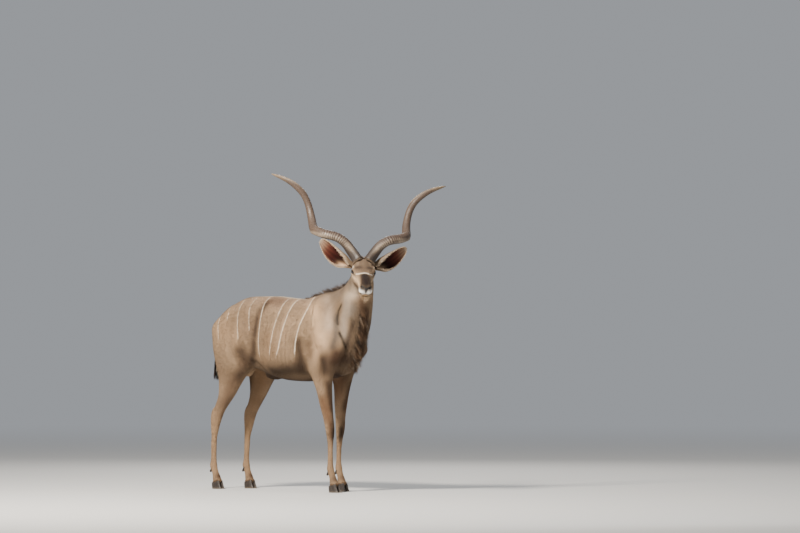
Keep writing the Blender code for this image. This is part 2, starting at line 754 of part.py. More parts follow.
def horn(side, rings, around):
    """One horn: an open coil of two bends with a winding keel, ridged up to its first bend.

    The centre line is the reach from the seat plus a coil across it. The coil of
    the right horn runs from above over the front to below; the left one mirrors it.
    """
    share = np.linspace(0, 1, rings) ** 0.94
    table = np.array(HORN)
    row = steady_spline(table[:, 0], table[:, 1:], share)
    turn, coil, radius, keel = np.radians(row[:, 0]), row[:, 1], row[:, 2], np.radians(row[:, 3])
    level = np.array(level_frame())[:3, :3]
    reach = np.array(HORN_REACH[side]) * (1, side, 1)
    axis = reach / np.linalg.norm(reach)
    front = np.array((1.0, 0.0, 0.0))
    front -= axis * (front @ axis)
    front /= np.linalg.norm(front)
    above = np.cross(axis, front)
    above *= np.sign(above[2])
    seat = to_model([(HORN_SEAT.x, HORN_SEAT.y * side, HORN_SEAT.z)])[0]
    wave = above * np.cos(turn)[:, None] + front * np.sin(turn)[:, None]
    line = reach * share[:, None] + wave * coil[:, None]
    course = np.gradient(line, axis=0)
    course /= np.linalg.norm(course, axis=1)[:, None]
    first = above - course * (course @ above)[:, None]
    first /= np.linalg.norm(first, axis=1)[:, None]
    second = np.cross(course, first)
    second *= np.sign((second @ front).mean())
    angle = np.linspace(0, 2 * math.pi, around, endpoint=False)[None]
    off = np.angle(np.exp(1j * (angle - keel[:, None])))
    run = np.r_[0, np.cumsum(np.linalg.norm(np.diff(line, axis=0), axis=1))]
    ridged = np.clip((0.46 - share) / 0.10, 0, 1) * np.clip(run / 0.03, 0, 1)
    ring = 0.0022 * np.cos(run / 0.024 * 2 * math.pi) * ridged
    size = radius[:, None] * (0.97 + 0.16 * np.exp(-((off / 0.50) ** 2))) + ring[:, None]
    points = (
        line[:, None]
        + first[:, None] * (np.cos(angle) * size)[..., None]
        + second[:, None] * (np.sin(angle) * size)[..., None]
    )
    points = np.concatenate([points[:1] - np.array((0, 0, HORN_ROOT)), points])
    points = points.reshape(-1, 3) @ level.T + seat
    return points, tube_faces(rings + 1, around)


# Ears: direction in level head axes (forward, left, up) and where the cup faces.
EARS = {
    1: (Vector((-0.190, 0.842, 0.503)), Vector((0.80, 0.50, -0.25))),
    -1: (Vector((-0.190, -0.806, 0.560)), Vector((0.74, -0.60, -0.25))),
}


def ear(side, filled, rings, around):
    """One ear: a leaf shaped cup, rolled to a tube at its root, as one closed tube of bowed ribs.

    A filled ear, without its cup, is the plug that clears its seat.
    """
    level = level_frame().to_3x3()
    length, face = EARS[side]
    length = (level @ length).normalized()
    face = level @ face
    face = (face - length * face.dot(length)).normalized()
    across = length.cross(face)
    seat = np.array(to_model([(EAR_SEAT.x, EAR_SEAT.y * side, EAR_SEAT.z)])[0])
    length, face, across = np.array(length), np.array(face), np.array(across)
    down = -np.array(level)[:, 2]
    down -= length * (down @ length)
    down /= np.linalg.norm(down)
    share = np.linspace(0, 1, rings)
    width = EAR_WIDTH * np.interp(share, [0, 0.12, 0.3, 0.5, 0.7, 0.86, 0.95, 1], EAR_OUTLINE)
    depth = EAR_WIDTH * np.interp(share, [0, 0.12, 0.3, 0.5, 0.7, 0.86, 0.95, 1], EAR_DEPTH)
    wall = np.interp(share, [0, 0.1, 0.25, 0.5, 1], [0.020, 0.014, 0.006, 0.004, 0.003])
    half = around // 2
    sweep = np.linspace(-1, 1, half)
    wrap = np.interp(share, [0, 0.15, 0.4, 1], [2.9, 2.3, 1.75, 1.35])
    points = []
    for i in range(rings):
        turn = sweep * wrap[i]
        scale = 1.0 / math.sin(min(wrap[i], math.pi / 2))
        outer = np.stack([np.sin(turn) * width[i] * scale, -np.cos(turn) * depth[i]], 1)
        thin = max(wall[i], 0.003)
        inner_width = max(width[i] - thin, width[i] * 0.25)
        inner_depth = max(depth[i] - thin * 1.3, depth[i] * 0.2)
        inner = np.stack([np.sin(turn) * inner_width * scale, -np.cos(turn) * inner_depth], 1)
        section = outer if filled else np.vstack([outer, inner[::-1]])
        bow = math.sin(share[i] * math.pi)
        middle = seat + length * (EAR_LENGTH * share[i])
        middle = middle + down * (EAR_DROOP * bow) - face * (0.018 * bow)
        points.append(middle + across * section[:, :1] + face * (section[:, 1:] + depth[i] * 0.5))
    return np.vstack(points), tube_faces(rings, half if filled else half * 2)


EAR_OUTLINE = [0.30, 0.50, 0.90, 1.00, 0.90, 0.66, 0.42, 0.10]
EAR_DEPTH = [0.32, 0.50, 0.62, 0.50, 0.34, 0.20, 0.12, 0.05]


def coronet(x, middle):
    """Height of the top of the hoof."""
    return CORONET + CORONET_SLOPE * (x - middle)


def claw(name, middle, y, side, heading):
    """One claw of a hoof: flat sole, sloping toe, its top on the coronet plane."""
    rings, around = 5, 12
    points = []
    for rise in (0.0, 0.12, 0.40, 0.72, 1.0):
        length = CLAW_LENGTH / 2 * (1.0 - 0.22 * rise ** 0.9)
        back = 0.014 * rise + 0.002 * math.sin(rise * math.pi)
        width = CLAW_WIDTH / 2 * (1.0 - 0.07 * rise)
        if rise == 0.0:
            length -= 0.002
            width -= 0.0015
        for i in range(around):
            angle = 2 * math.pi * i / around
            reach = math.cos(angle)
            spread = math.sin(angle)
            x = middle - back + length * reach
            flat = 0.78 if spread * side < 0 else 1.0
            off = spread * width * (1 - 0.30 * reach) * flat
            z = (coronet(x, middle) - GAP) * rise
            points.append((x, y + off + heading * reach, z))
    return make_object(name, points, tube_faces(rings, around))


def foot_cut(middle, y):
    """The block below a leg's coronet plane."""
    low, high = (middle - 0.12, y - 0.08, -0.05), (middle + 0.12, y + 0.08, 0)
    return block(low, high, (CORONET - CORONET_SLOPE * middle, CORONET_SLOPE))


def paint(made, colour, roughness):
    """Gives an object its own plain material."""
    material = bpy.data.materials.new(made.name)
    material.use_nodes = True
    shader = material.node_tree.nodes["Principled BSDF"]
    shader.inputs["Base Color"].default_value = (*colour, 1)
    shader.inputs["Roughness"].default_value = roughness
    made.data.materials.clear()
    made.data.materials.append(material)
    made.location = -ORIGIN


def clear_scene():
    for old in list(bpy.data.objects):
        remove_object(old)


FUR = (0.30, 0.235, 0.185)
HORN_COLOUR = (0.27, 0.225, 0.175)
HOOF = (0.030, 0.026, 0.024)
EYE = (0.012, 0.008, 0.006)


def make_head(seated, draws):
    """Head with sockets, lids, mouth, nostrils and seats, cut off at the neck."""
    head = joined("head", [loft(neck_ribs(), 28, 32), loft(head_ribs(), 40, 32)])
    fuse(head, HEAD_VOXEL, 14)
    model_by_strokes(head, face_strokes())
    boolean(head, slab(*HEAD_CUT, 2.0, GAP / 2), "INTERSECT")
    thin_out(head, HEAD_FACES)
    for side in (-1, 1):
        boolean(head, eyeball("lids", side, EYE_RADIUS + LID), "UNION")
    for side in (-1, 1):
        boolean(head, lid_opening(side), "DIFFERENCE")
        boolean(head, eyeball("socket", side, EYE_RADIUS + GAP), "DIFFERENCE")
        boolean(head, nostril(side), "DIFFERENCE")
        boolean(head, make_object("cup", *ear(side, True, 14, 20)), "DIFFERENCE")
    for solid in seated:
        boolean(head, swollen(solid), "DIFFERENCE")
    boolean(head, mouth_line(), "DIFFERENCE")
    return grow(head, beard(draws))


def make_legs(body):
    """Parts the four legs from the body and cuts their feet to the coronet."""
    pieces = []
    sides = ((-1, "right"), (1, "left"))
    for table, place, foot, stagger in (
        ("front", "leg_front", FORE_FOOT, FORE_STAGGER),
        ("rear", "leg_rear", HIND_FOOT, HIND_STAGGER),
    ):
        for side, word in sides:
            if table == "front":
                spans, inner, tops = (0.90, 1.60), 0.020, (FORE_CUT, 0.0)
            else:
                spans, inner, tops = (-0.10, 0.50), 0.052, (HIND_CUT, HIND_CUT_SLOPE)
            ys = sorted((inner * side, 0.40 * side))
            low, high = (spans[0], ys[0], -0.1), (spans[1], ys[1], 0)
            leg = copy_of(body, f"{place}_{word}")
            boolean(leg, block(low, high, (tops[0] - GAP / 2, tops[1])), "INTERSECT")
            boolean(body, block(low, high, (tops[0] + GAP / 2, tops[1])), "DIFFERENCE")
            shift = stagger_of(stagger, 0.05) if side > 0 else 0.0
            middle, y = foot[0] + shift, foot[1] * side
            boolean(leg, foot_cut(middle, y), "DIFFERENCE")
            pieces.append(keep_largest(leg))
            for flank, part in ((1, "outer"), (-1, "inner")):
                off = flank * side * (CLAW_WIDTH * 0.89 + CLEFT) / 2
                hoof = claw(f"hoof_{table}_{word}_{part}", middle, y + off, flank * side, 0.0)
                paint(hoof, HOOF, 0.5)
    return pieces


def main():
    clear_scene()
    body = joined("torso", trunk_and_limbs())
    fuse(body, BODY_VOXEL, 8)
    model_by_strokes(body, mirrored(BODY_STROKES))
    thin_out(body, BODY_FACES)
    draws = np.random.default_rng(11)
    pieces = [make_object("core", *core(FRINGE, 0.62)), make_object("core", *core(MANE, 0.70))]
    pieces += hair("fringe", FRINGE, FRINGE_LOCKS, 0.13, 0.017, 0.060, draws)
    pieces += hair("mane", MANE, MANE_LOCKS, -0.09, 0.008, 0.052, draws)
    grow(body, pieces)
    legs_made = make_legs(body)
    neck = copy_of(body, "neck")
    boolean(neck, slab(*NECK_CUT, 3.0, GAP / 2), "INTERSECT")
    point, facing = HEAD_CUT
    boolean(neck, slab(point, -facing, 3.0, GAP / 2), "INTERSECT")
    point, facing = NECK_CUT
    boolean(body, slab(point, -facing, 3.0, GAP / 2), "INTERSECT")
    tail = make_object("tail", *loft(tail_ribs(), 12, 10))
    grow(tail, tuft(draws))
    boolean(body, swollen(tail), "DIFFERENCE")
    keep_largest(body)
    keep_largest(neck)
    sides = ((-1, "right"), (1, "left"))
    horns = [make_object(f"horn_{word}", *horn(side, 46, 12)) for side, word in sides]
    ears = [make_object(f"ear_{word}", *ear(side, False, 14, 20)) for side, word in sides]
    eyes = [eyeball(f"eye_{word}", side, EYE_RADIUS) for side, word in sides]
    head = make_head(horns + ears, draws)
    for made in (body, neck, head, tail, *legs_made, *ears):
        paint(made, FUR, 0.8)
    for made in horns:
        paint(made, HORN_COLOUR, 0.55)
    for made in eyes:
        paint(made, EYE, 0.08)


main()
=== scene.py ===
"""The looks of a standing greater kudu bull: skin, coat, long hair, horns, eyes, hooves and stage.

The flesh is one skin, made from lofts along trunk, neck, head, legs and tail, fused by a
voxel remesh, softened, and modelled by strokes that raise or sink it along its normals.
Its colours are strokes too, kept as attributes, and every tuft of the coat reads them at
its root, so skin and coat carry the same colours. Some of these strokes are painted shade
and painted highlights where the light falls. Tables are in metres, with X forward
from the buttock, Y to the animal's left and Z up from the ground.
"""

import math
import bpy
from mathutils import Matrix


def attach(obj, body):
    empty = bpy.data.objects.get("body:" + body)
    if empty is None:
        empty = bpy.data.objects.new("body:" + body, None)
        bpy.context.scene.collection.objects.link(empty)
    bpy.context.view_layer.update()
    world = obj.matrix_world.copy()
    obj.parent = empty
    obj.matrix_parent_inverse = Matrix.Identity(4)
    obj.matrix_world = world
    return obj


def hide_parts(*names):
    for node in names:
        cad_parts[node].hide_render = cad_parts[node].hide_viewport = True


bl_info = {
    "name": "Greater kudu bull",
    "version": (1, 0, 0),
    "blender": (4, 5, 0),
    "location": "3D View > Sidebar > Kudu",
    "description": "Builds the coat, horns, eyes, hooves and stage of a standing greater kudu bull",
    "category": "Add Mesh",
}

from contextlib import contextmanager

import bmesh
import bpy
import numpy as np
from bpy.props import FloatProperty, FloatVectorProperty, IntProperty, PointerProperty
from mathutils import Matrix, Vector

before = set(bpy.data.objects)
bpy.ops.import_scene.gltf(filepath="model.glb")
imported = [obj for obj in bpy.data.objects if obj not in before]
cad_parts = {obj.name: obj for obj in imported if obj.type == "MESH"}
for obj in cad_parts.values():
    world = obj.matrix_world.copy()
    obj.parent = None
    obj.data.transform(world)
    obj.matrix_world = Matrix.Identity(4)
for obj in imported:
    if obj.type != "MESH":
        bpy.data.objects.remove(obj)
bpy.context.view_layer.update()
# Where the middle of the hooves' box lies in the tables' coordinates.
ORIGIN = np.array((0.8744, 0.1196, 0))
# Turn of the head in degrees: nose down, to its right, and tilted. The point between the
# eyes is the head's own origin, and its seats are for the left side: forward, left, up.
HEAD_PITCH = 24.0
HEAD_YAW = -39.5
HEAD_ROLL = 4.0
EYE_LEVEL = Vector((1.6165, -0.187, 1.5735))
# Eyes: seat, radius of the ball, gaze, thickness of the lids, and the open lids' corner
# and edge from their middle.
EYE_SEAT = Vector((0.006, 0.0635, 0.002))
EYE_RADIUS = 0.0215
EYE_GAZE = Vector((0.58, 0.80, 0.12))
LID = 0.003
LID_REACH = 0.019
LID_RISE = 0.0115
# Horns: seat, depth of the root in the head, and where each tip lies from its seat.
HORN_SEAT = Vector((-0.074, 0.039, 0.055))
HORN_ROOT = 0.016
HORN_REACH = {1: Vector((-0.47, 0.542, 0.557)), -1: Vector((-0.47, 0.591, 0.557))}
# Ears: seat, length, half width, how far the middle line bows down and back, and the
# points round each ring.
EAR_SEAT = Vector((-0.1, 0.062, 0.002))
EAR_LENGTH = 0.3
EAR_WIDTH = 0.066
EAR_DROOP = 0.03
EAR_BOW = 0.018
EAR_AROUND = 72
# Claws: length, width, the gap between two, and the height and slope of the coronet.
CLAW_LENGTH = 0.088
CLAW_WIDTH = 0.034
CLEFT = 0.004
CORONET = 0.056
CORONET_SLOPE = 0.25
# Middle and radii of the sheath and of the scrotum.
SHEATH = (0.56, 0, 0.835), (0.11, 0.034, 0.045)
SCROTUM = (0.285, 0, 0.88), (0.055, 0.046, 0.075)
# X between the fore and hind legs, and the height under which left legs step out of line.
MID_BODY = 0.8
LEG_TOP = 0.9
# Left and right, and the number that marks the points of each ear.
SIDES = (1, "left"), (-1, "right")
EAR_NUMBERS = (1, 1), (2, -1)
# The feet in the order of foot_places.
FEET = "front_right", "front_left", "rear_right", "rear_left"
# What each point of the skin keeps. A stripe distance of NO_STRIPE shows no stripe.
SKIN_VALUES = "tint", "bare", "stripe", "ear"
NO_STRIPE = 0.05
# Hairs on each side or foot, and the widths of a hair from root to tip over its full width.
BEARD_LOCKS = 96
HORN_ROOT_HAIRS = 560
CORONET_HAIRS = 260
LASHES = 46
WHISKERS = 16
HAIR_TAPER = np.array([0.8, 1, 0.7, 0.05])
# Points of a closed surface closer than this are one.
WELD = 1e-6
# Whole numbers that turn a cell of space into a key of its own.
CELL_KEYS = np.array((73856093, 19349663, 83492791))
# Half the side of the square floor.
FLOOR_REACH = 3000.0
# Sideways and upward lean of the view from the line to the tables' origin.
VIEW_RIGHT = 179.4 / 6165
VIEW_UP = 221.5 / 6165
# Colour and strength of the sky, which the far floor takes too.
SKY = (0.8, 0.84, 0.9)
SKY_LIGHT = 0.42

# Outlines in metres, X from the buttock and Z from the ground.
# Trunk: x and z on the back, x and z on the belly, half width, fullness, taper to the back.
TRUNK = [
    (0.045, 1.13, 0.06, 1.02, 0.05, 2, 0),
    (0.062, 1.215, 0.08, 0.985, 0.105, 2, 0),
    (0.115, 1.29, 0.13, 0.955, 0.148, 2, -0.15),
    (0.21, 1.362, 0.22, 0.925, 0.188, 2.1, -0.18),
    (0.36, 1.401, 0.37, 0.89, 0.212, 2.2, -0.1),
    (0.6, 1.403, 0.56, 0.828, 0.222, 2.2, -0.05),
    (0.76, 1.39, 0.74, 0.79, 0.238, 2.2, -0.08),
    (0.88, 1.385, 0.89, 0.785, 0.238, 2.2, -0.14),
    (1.01, 1.412, 1.02, 0.797, 0.218, 2.1, -0.28),
    (1.12, 1.44, 1.14, 0.812, 0.192, 2, -0.35),
    (1.23, 1.43, 1.25, 0.845, 0.175, 2, -0.3),
    (1.32, 1.365, 1.34, 0.915, 0.142, 2, -0.15),
    (1.375, 1.27, 1.39, 1.01, 0.1, 2, 0),
    (1.398, 1.19, 1.403, 1.09, 0.05, 2, 0),
]
# Neck: nape x y z, throat x y z, half width, fullness, taper.
NECK = [
    (1.03, 0, 1.398, 1.21, 0, 0.9, 0.12, 2, -0.1),
    (1.145, 0, 1.44, 1.34, 0, 0.965, 0.145, 2, -0.2),
    (1.25, -0.005, 1.47, 1.415, -0.01, 1.08, 0.126, 2, -0.2),
    (1.345, -0.03, 1.518, 1.472, -0.038, 1.2, 0.11, 2, -0.1),
    (1.418, -0.058, 1.565, 1.522, -0.074, 1.31, 0.098, 2, -0.05),
    (1.482, -0.086, 1.612, 1.558, -0.107, 1.405, 0.086, 2, 0),
    (1.525, -0.108, 1.635, 1.572, -0.134, 1.46, 0.07, 2, 0),
]
# Head in its own frame, from the poll to the lips: distance forward of the eyes,
# height of the top line, height of the jaw line, half width, fullness, taper.
HEAD = [
    (-0.135, 0.018, -0.06, 0.042, 2, 0),
    (-0.112, 0.052, -0.1, 0.06, 2.1, 0),
    (-0.072, 0.072, -0.132, 0.071, 2.2, 0.06),
    (-0.03, 0.068, -0.134, 0.078, 2.3, 0.14),
    (0.005, 0.058, -0.122, 0.079, 2.3, 0.22),
    (0.045, 0.047, -0.107, 0.068, 2.3, 0.22),
    (0.095, 0.036, -0.096, 0.055, 2.3, 0.18),
    (0.145, 0.029, -0.09, 0.048, 2.3, 0.14),
    (0.19, 0.024, -0.088, 0.045, 2.3, 0.12),
    (0.228, 0.017, -0.086, 0.046, 2.3, 0.14),
    (0.252, 0.004, -0.076, 0.043, 2.2, 0.14),
    (0.27, -0.016, -0.056, 0.03, 2, 0.1),
]
# Legs: height, x of the front line, x of the back line, y of the middle, half width.
FORELEG = [
    (1.37, 1.215, 1.075, 0.05, 0.03),
    (1.27, 1.285, 1.045, 0.1, 0.06),
    (1.15, 1.355, 1.015, 0.125, 0.08),
    (1.05, 1.38, 1.005, 0.135, 0.085),
    (0.96, 1.345, 1.005, 0.14, 0.08),
    (0.88, 1.288, 1.032, 0.145, 0.072),
    (0.81, 1.264, 1.082, 0.145, 0.06),
    (0.72, 1.252, 1.12, 0.138, 0.053),
    (0.62, 1.25, 1.143, 0.13, 0.046),
    (0.53, 1.252, 1.167, 0.122, 0.039),
    (0.47, 1.257, 1.178, 0.117, 0.038),
    (0.43, 1.255, 1.184, 0.113, 0.036),
    (0.385, 1.247, 1.187, 0.11, 0.03),
    (0.3, 1.239, 1.189, 0.108, 0.0225),
    (0.21, 1.239, 1.187, 0.106, 0.0235),
    (0.165, 1.246, 1.178, 0.105, 0.031),
    (0.125, 1.255, 1.198, 0.104, 0.028),
    (0.09, 1.275, 1.208, 0.103, 0.034),
    (0.035, 1.296, 1.21, 0.103, 0.036),
]
HINDLEG = [
    (1.33, 0.36, 0.2, 0.07, 0.05),
    (1.25, 0.42, 0.115, 0.1, 0.08),
    (1.15, 0.47, 0.058, 0.12, 0.103),
    (1.05, 0.49, 0.067, 0.13, 0.108),
    (0.96, 0.466, 0.088, 0.135, 0.1),
    (0.88, 0.446, 0.112, 0.14, 0.086),
    (0.8, 0.372, 0.132, 0.14, 0.068),
    (0.74, 0.325, 0.132, 0.14, 0.058),
    (0.68, 0.28, 0.122, 0.139, 0.05),
    (0.62, 0.223, 0.09, 0.137, 0.043),
    (0.575, 0.184, 0.052, 0.135, 0.039),
    (0.55, 0.163, 0.04, 0.133, 0.038),
    (0.5, 0.136, 0.035, 0.132, 0.036),
    (0.44, 0.111, 0.034, 0.13, 0.031),
    (0.36, 0.089, 0.031, 0.128, 0.024),
    (0.22, 0.081, 0.028, 0.125, 0.024),
    (0.165, 0.084, 0.014, 0.124, 0.032),
    (0.125, 0.096, 0.036, 0.123, 0.028),
    (0.09, 0.116, 0.046, 0.122, 0.034),
    (0.035, 0.136, 0.048, 0.122, 0.036),
]
# How far each left leg stands off from the right one: height and shift in x.
FORE_STAGGER = [(1.3, 0), (0.85, -0.075), (0.68, -0.1), (0.5, -0.12), (0, -0.12)]
HIND_STAGGER = [(1.25, 0), (0.9, 0.025), (0.68, 0.045), (0.56, 0.072), (0.45, 0.085), (0, 0.09)]
# Feet: x of the middle of the foot on the ground and its y, front then hind, on the right side.
FORE_FOOT = (1.262, 0.103)
HIND_FOOT = (0.101, 0.122)
# Horn: share of the reach, turn of the coil in degrees, coil radius, horn radius, turn of the keel.
HORN = [
    (0, 0, 0, 0.041, 60),
    (0.1, 32, 0.019, 0.038, 80),
    (0.19, 65, 0.048, 0.035, 105),
    (0.245, 86, 0.0585, 0.034, 120),
    (0.345, 135, 0.0595, 0.033, 150),
    (0.415, 165, 0.0595, 0.0325, 175),
    (0.48, 211, 0.0595, 0.0315, 215),
    (0.535, 246, 0.0615, 0.03, 248),
    (0.62, 288, 0.065, 0.0268, 288),
    (0.728, 341, 0.067, 0.0236, 341),
    (0.82, 378, 0.065, 0.0205, 378),
    (0.91, 415, 0.065, 0.015, 415),
    (0.965, 437, 0.065, 0.009, 437),
    (1, 450, 0.065, 0.0025, 450),
]
# The middle line of the neck, from head to chest.
NECK_AXIS = (1.56, -0.12, 1.54), (1.4, -0.05, 1.4), (1.2, 0, 1.2)
# Tail: height, x of the back line, x of the front line, half width.
TAIL = [
    (1.235, 0, 0.08, 0.034),
    (1.2, -0.03, 0.04, 0.03),
    (1.12, -0.05, 0, 0.022),
    (1.02, -0.056, -0.014, 0.018),
    (0.905, -0.053, -0.015, 0.016),
    (0.86, -0.062, -0.008, 0.021),
    (0.82, -0.058, -0.014, 0.017),
    (0.785, -0.045, -0.028, 0.006),
]
# Throat fringe: edge x y z, root x y z inside the throat, half thickness.
FRINGE = [
    (1.578, -0.128, 1.375, 1.535, -0.105, 1.43, 0.008),
    (1.562, -0.092, 1.26, 1.495, -0.07, 1.34, 0.011),
    (1.53, -0.052, 1.14, 1.44, -0.036, 1.225, 0.013),
    (1.5, -0.015, 1.04, 1.385, -0.01, 1.12, 0.014),
    (1.464, 0, 0.95, 1.32, 0, 1.02, 0.014),
    (1.424, 0, 0.878, 1.3, 0, 0.96, 0.013),
    (1.372, 0, 0.835, 1.31, 0, 0.93, 0.01),
]
# Mane along the nape and withers: edge x y z, root x y z, half thickness.
MANE = [
    (0.86, 0, 1.392, 0.865, 0, 1.36, 0.006),
    (0.96, 0, 1.438, 0.975, 0, 1.37, 0.01),
    (1.09, 0, 1.48, 1.11, 0, 1.4, 0.012),
    (1.23, -0.004, 1.506, 1.26, -0.006, 1.43, 0.012),
    (1.33, -0.028, 1.538, 1.37, -0.032, 1.48, 0.011),
    (1.405, -0.056, 1.584, 1.44, -0.062, 1.53, 0.009),
    (1.465, -0.084, 1.62, 1.5, -0.09, 1.57, 0.005),
]
# Ears: for each side their direction and the way the cup faces, on the head's level axes.
EARS = {
    1: (Vector((-0.19, 0.842, 0.503)), Vector((0.8, 0.5, -0.25))),
    -1: (Vector((-0.19, -0.806, 0.56)), Vector((0.74, -0.6, -0.25))),
}
# Half width and depth of an ear at eight shares of its length, over the ear's half width.
EAR_OUTLINE = [0.3, 0.5, 0.9, 1, 0.9, 0.66, 0.42, 0.1]
EAR_DEPTH = [0.32, 0.5, 0.62, 0.5, 0.34, 0.2, 0.12, 0.05]
# Share of an ear's length and the colour of its cup there.
EAR_CUP = [
    (0.0, (0.2, 0.12, 0.09)),
    (0.22, (0.07, 0.025, 0.018)),
    (0.5, (0.18, 0.065, 0.047)),
    (0.7, (0.31, 0.16, 0.12)),
    (0.9, (0.54, 0.43, 0.35)),
]
# Modelling of the body on the right side: path, radius, height. The left side mirrors it.
BODY_STROKES = [
    ([(1.18, -0.11, 1.32), (1.24, -0.15, 1.19), (1.305, -0.15, 1.06)], 0.035, -0.0234),
    ([(1.07, -0.13, 1.37), (1.18, -0.19, 1.13), (1.27, -0.175, 1.02)], 0.045, 0.0182),
    ([(0.955, -0.23, 1.25), (0.99, -0.235, 1.02), (1.03, -0.21, 0.9)], 0.045, -0.013),
    ([(0.42, -0.18, 1.31)], 0.06, 0.0182),
    ([(0.52, -0.215, 1.18), (0.52, -0.195, 0.98)], 0.07, -0.0182),
    ([(0.48, -0.14, 0.93), (0.54, -0.15, 0.88)], 0.04, -0.0156),
    ([(0.1, -0.135, 0.62), (0.15, -0.138, 0.7)], 0.022, -0.0065),
    ([(0.1, -0.17, 1.18)], 0.06, 0.0104),
    ([(1.09, -0.15, 1.33), (1.12, -0.195, 1.18)], 0.02, 0.0052),
    ([(1.18, -0.205, 1.06), (1.06, -0.205, 0.98)], 0.03, 0.0078),
    ([(1.04, -0.2, 1.13), (1.01, -0.19, 1.02)], 0.022, -0.0078),
    ([(0.3, -0.2, 1.18), (0.27, -0.215, 1.02), (0.33, -0.215, 0.93)], 0.032, 0.0078),
    ([(0.39, -0.195, 1.04), (0.42, -0.185, 0.93)], 0.026, -0.0078),
    ([(0.18, -0.19, 1.01), (0.18, -0.165, 0.86)], 0.022, -0.0065),
    ([(0.45, -0.19, 0.9), (0.5, -0.175, 0.96), (0.56, -0.185, 1.05)], 0.016, 0.0052),
    ([(0.7, -0.225, 1.22), (0.66, -0.215, 0.96)], 0.012, 0.0021),
    ([(0.77, -0.23, 1.23), (0.73, -0.225, 0.94)], 0.012, 0.0023),
    ([(0.84, -0.232, 1.23), (0.81, -0.23, 0.93)], 0.012, 0.0023),
    ([(0.91, -0.23, 1.22), (0.89, -0.23, 0.93)], 0.012, 0.0018),
    ([(1.34, -0.115, 1.31), (1.302, -0.125, 1.262), (1.35, -0.14, 1.125)], 0.014, -0.0091),
    ([(1.372, -0.1, 1.33), (1.345, -0.12, 1.24), (1.385, -0.12, 1.12)], 0.018, 0.0065),
    ([(1.4, -0.15, 1.44), (1.3, -0.135, 1.3)], 0.03, -0.0039),
    ([(1.2, -0.14, 0.735), (1.205, -0.13, 0.64)], 0.012, 0.0039),
    ([(1.215, -0.15, 0.47), (1.222, -0.147, 0.43)], 0.014, 0.0039),
    ([(1.2, -0.108, 0.36), (1.203, -0.108, 0.23)], 0.009, 0.0026),
    ([(1.212, -0.128, 0.36), (1.214, -0.128, 0.23)], 0.006, -0.0029),
    ([(0.05, -0.15, 0.42), (0.052, -0.148, 0.24)], 0.006, -0.0029),
    ([(0.075, -0.16, 0.64), (0.1, -0.155, 0.56)], 0.012, -0.0078),
    ([(0.05, -0.135, 0.6), (0.085, -0.138, 0.68)], 0.012, 0.0039),
]
# Modelling of the head in its own coordinates (forward, left, up) on the left side.
FACE_STROKES = [
    ([(-0.035, 0.072, 0.03), (-0.005, 0.078, 0.036), (0.03, 0.066, 0.026)], 0.012, 0.007),
    ([(0.002, 0.076, 0)], 0.03, 0.008),
    ([(-0.06, 0.068, 0.012)], 0.018, -0.006),
    ([(0.045, 0.062, -0.018), (0.1, 0.05, -0.022)], 0.014, -0.004),
    ([(-0.035, 0.074, -0.075)], 0.035, 0.006),
    ([(0.105, 0.052, -0.045), (0.17, 0.046, -0.05)], 0.018, -0.004),
    ([(0.232, 0.042, -0.02), (0.24, 0.036, -0.04)], 0.016, 0.004),
    ([(-0.095, 0.064, 0.02)], 0.022, 0.006),
    ([(0.242, 0.028, 0.002)], 0.014, 0.004),
]
# The finer folds of the face, put in once the skin there is fine enough.
FACE_FOLDS = [
    ([(0.266, 0.014, 0.004), (0.255, 0.032, 0.007), (0.242, 0.044, 0.001)], 0.006, 0.0042),
    ([(0.27, 0.016, -0.016), (0.262, 0.025, -0.01), (0.25, 0.035, -0.006)], 0.0052, -0.013),
    ([(0.236, 0.046, -0.012), (0.226, 0.046, -0.004)], 0.005, -0.002),
    ([(0.262, 0.022, -0.038), (0.24, 0.04, -0.042)], 0.01, 0.0022),
    ([(0.256, 0.016, -0.064), (0.238, 0.032, -0.062)], 0.007, 0.002),
    ([(0.036, 0.066, -0.008), (0.075, 0.056, -0.014)], 0.005, -0.0026),
    ([(-0.03, 0.072, 0.034), (0.016, 0.072, 0.032)], 0.008, 0.003),
    ([(0.03, 0.072, -0.03), (0.1, 0.054, -0.042)], 0.01, 0.0034),
    ([(-0.086, 0.056, -0.105), (0.01, 0.054, -0.116), (0.11, 0.038, -0.094)], 0.012, 0.003),
    ([(0.09, 0.052, -0.06)], 0.018, -0.004),
    ([(0.05, 0.034, 0.044), (0.17, 0.024, 0.026)], 0.009, 0.0022),
    ([(0.192, 0.044, -0.06), (0.204, 0.043, -0.052)], 0.005, -0.003),
]
# A groove down the upper lip and a hollow along the bridge of the nose.
MIDDLE_FOLDS = [
    ([(0.274, 0, -0.01), (0.271, 0, -0.046)], 0.0026, -0.0024),
    ([(0.06, 0, 0.046), (0.19, 0, 0.026)], 0.011, -0.0012),
    ([(-0.02, 0, 0.07), (0.01, 0, 0.06)], 0.015, 0.002),
]

# Places round which the skin is made finer: both sides and the middle of the muzzle, the nostrils.
MUZZLE = [(0.25, 0.025, -0.015), (0.25, -0.025, -0.015), (0.245, 0, -0.055)]
NOSTRILS = [(0.256, 0.024, -0.008), (0.256, -0.024, -0.008)]
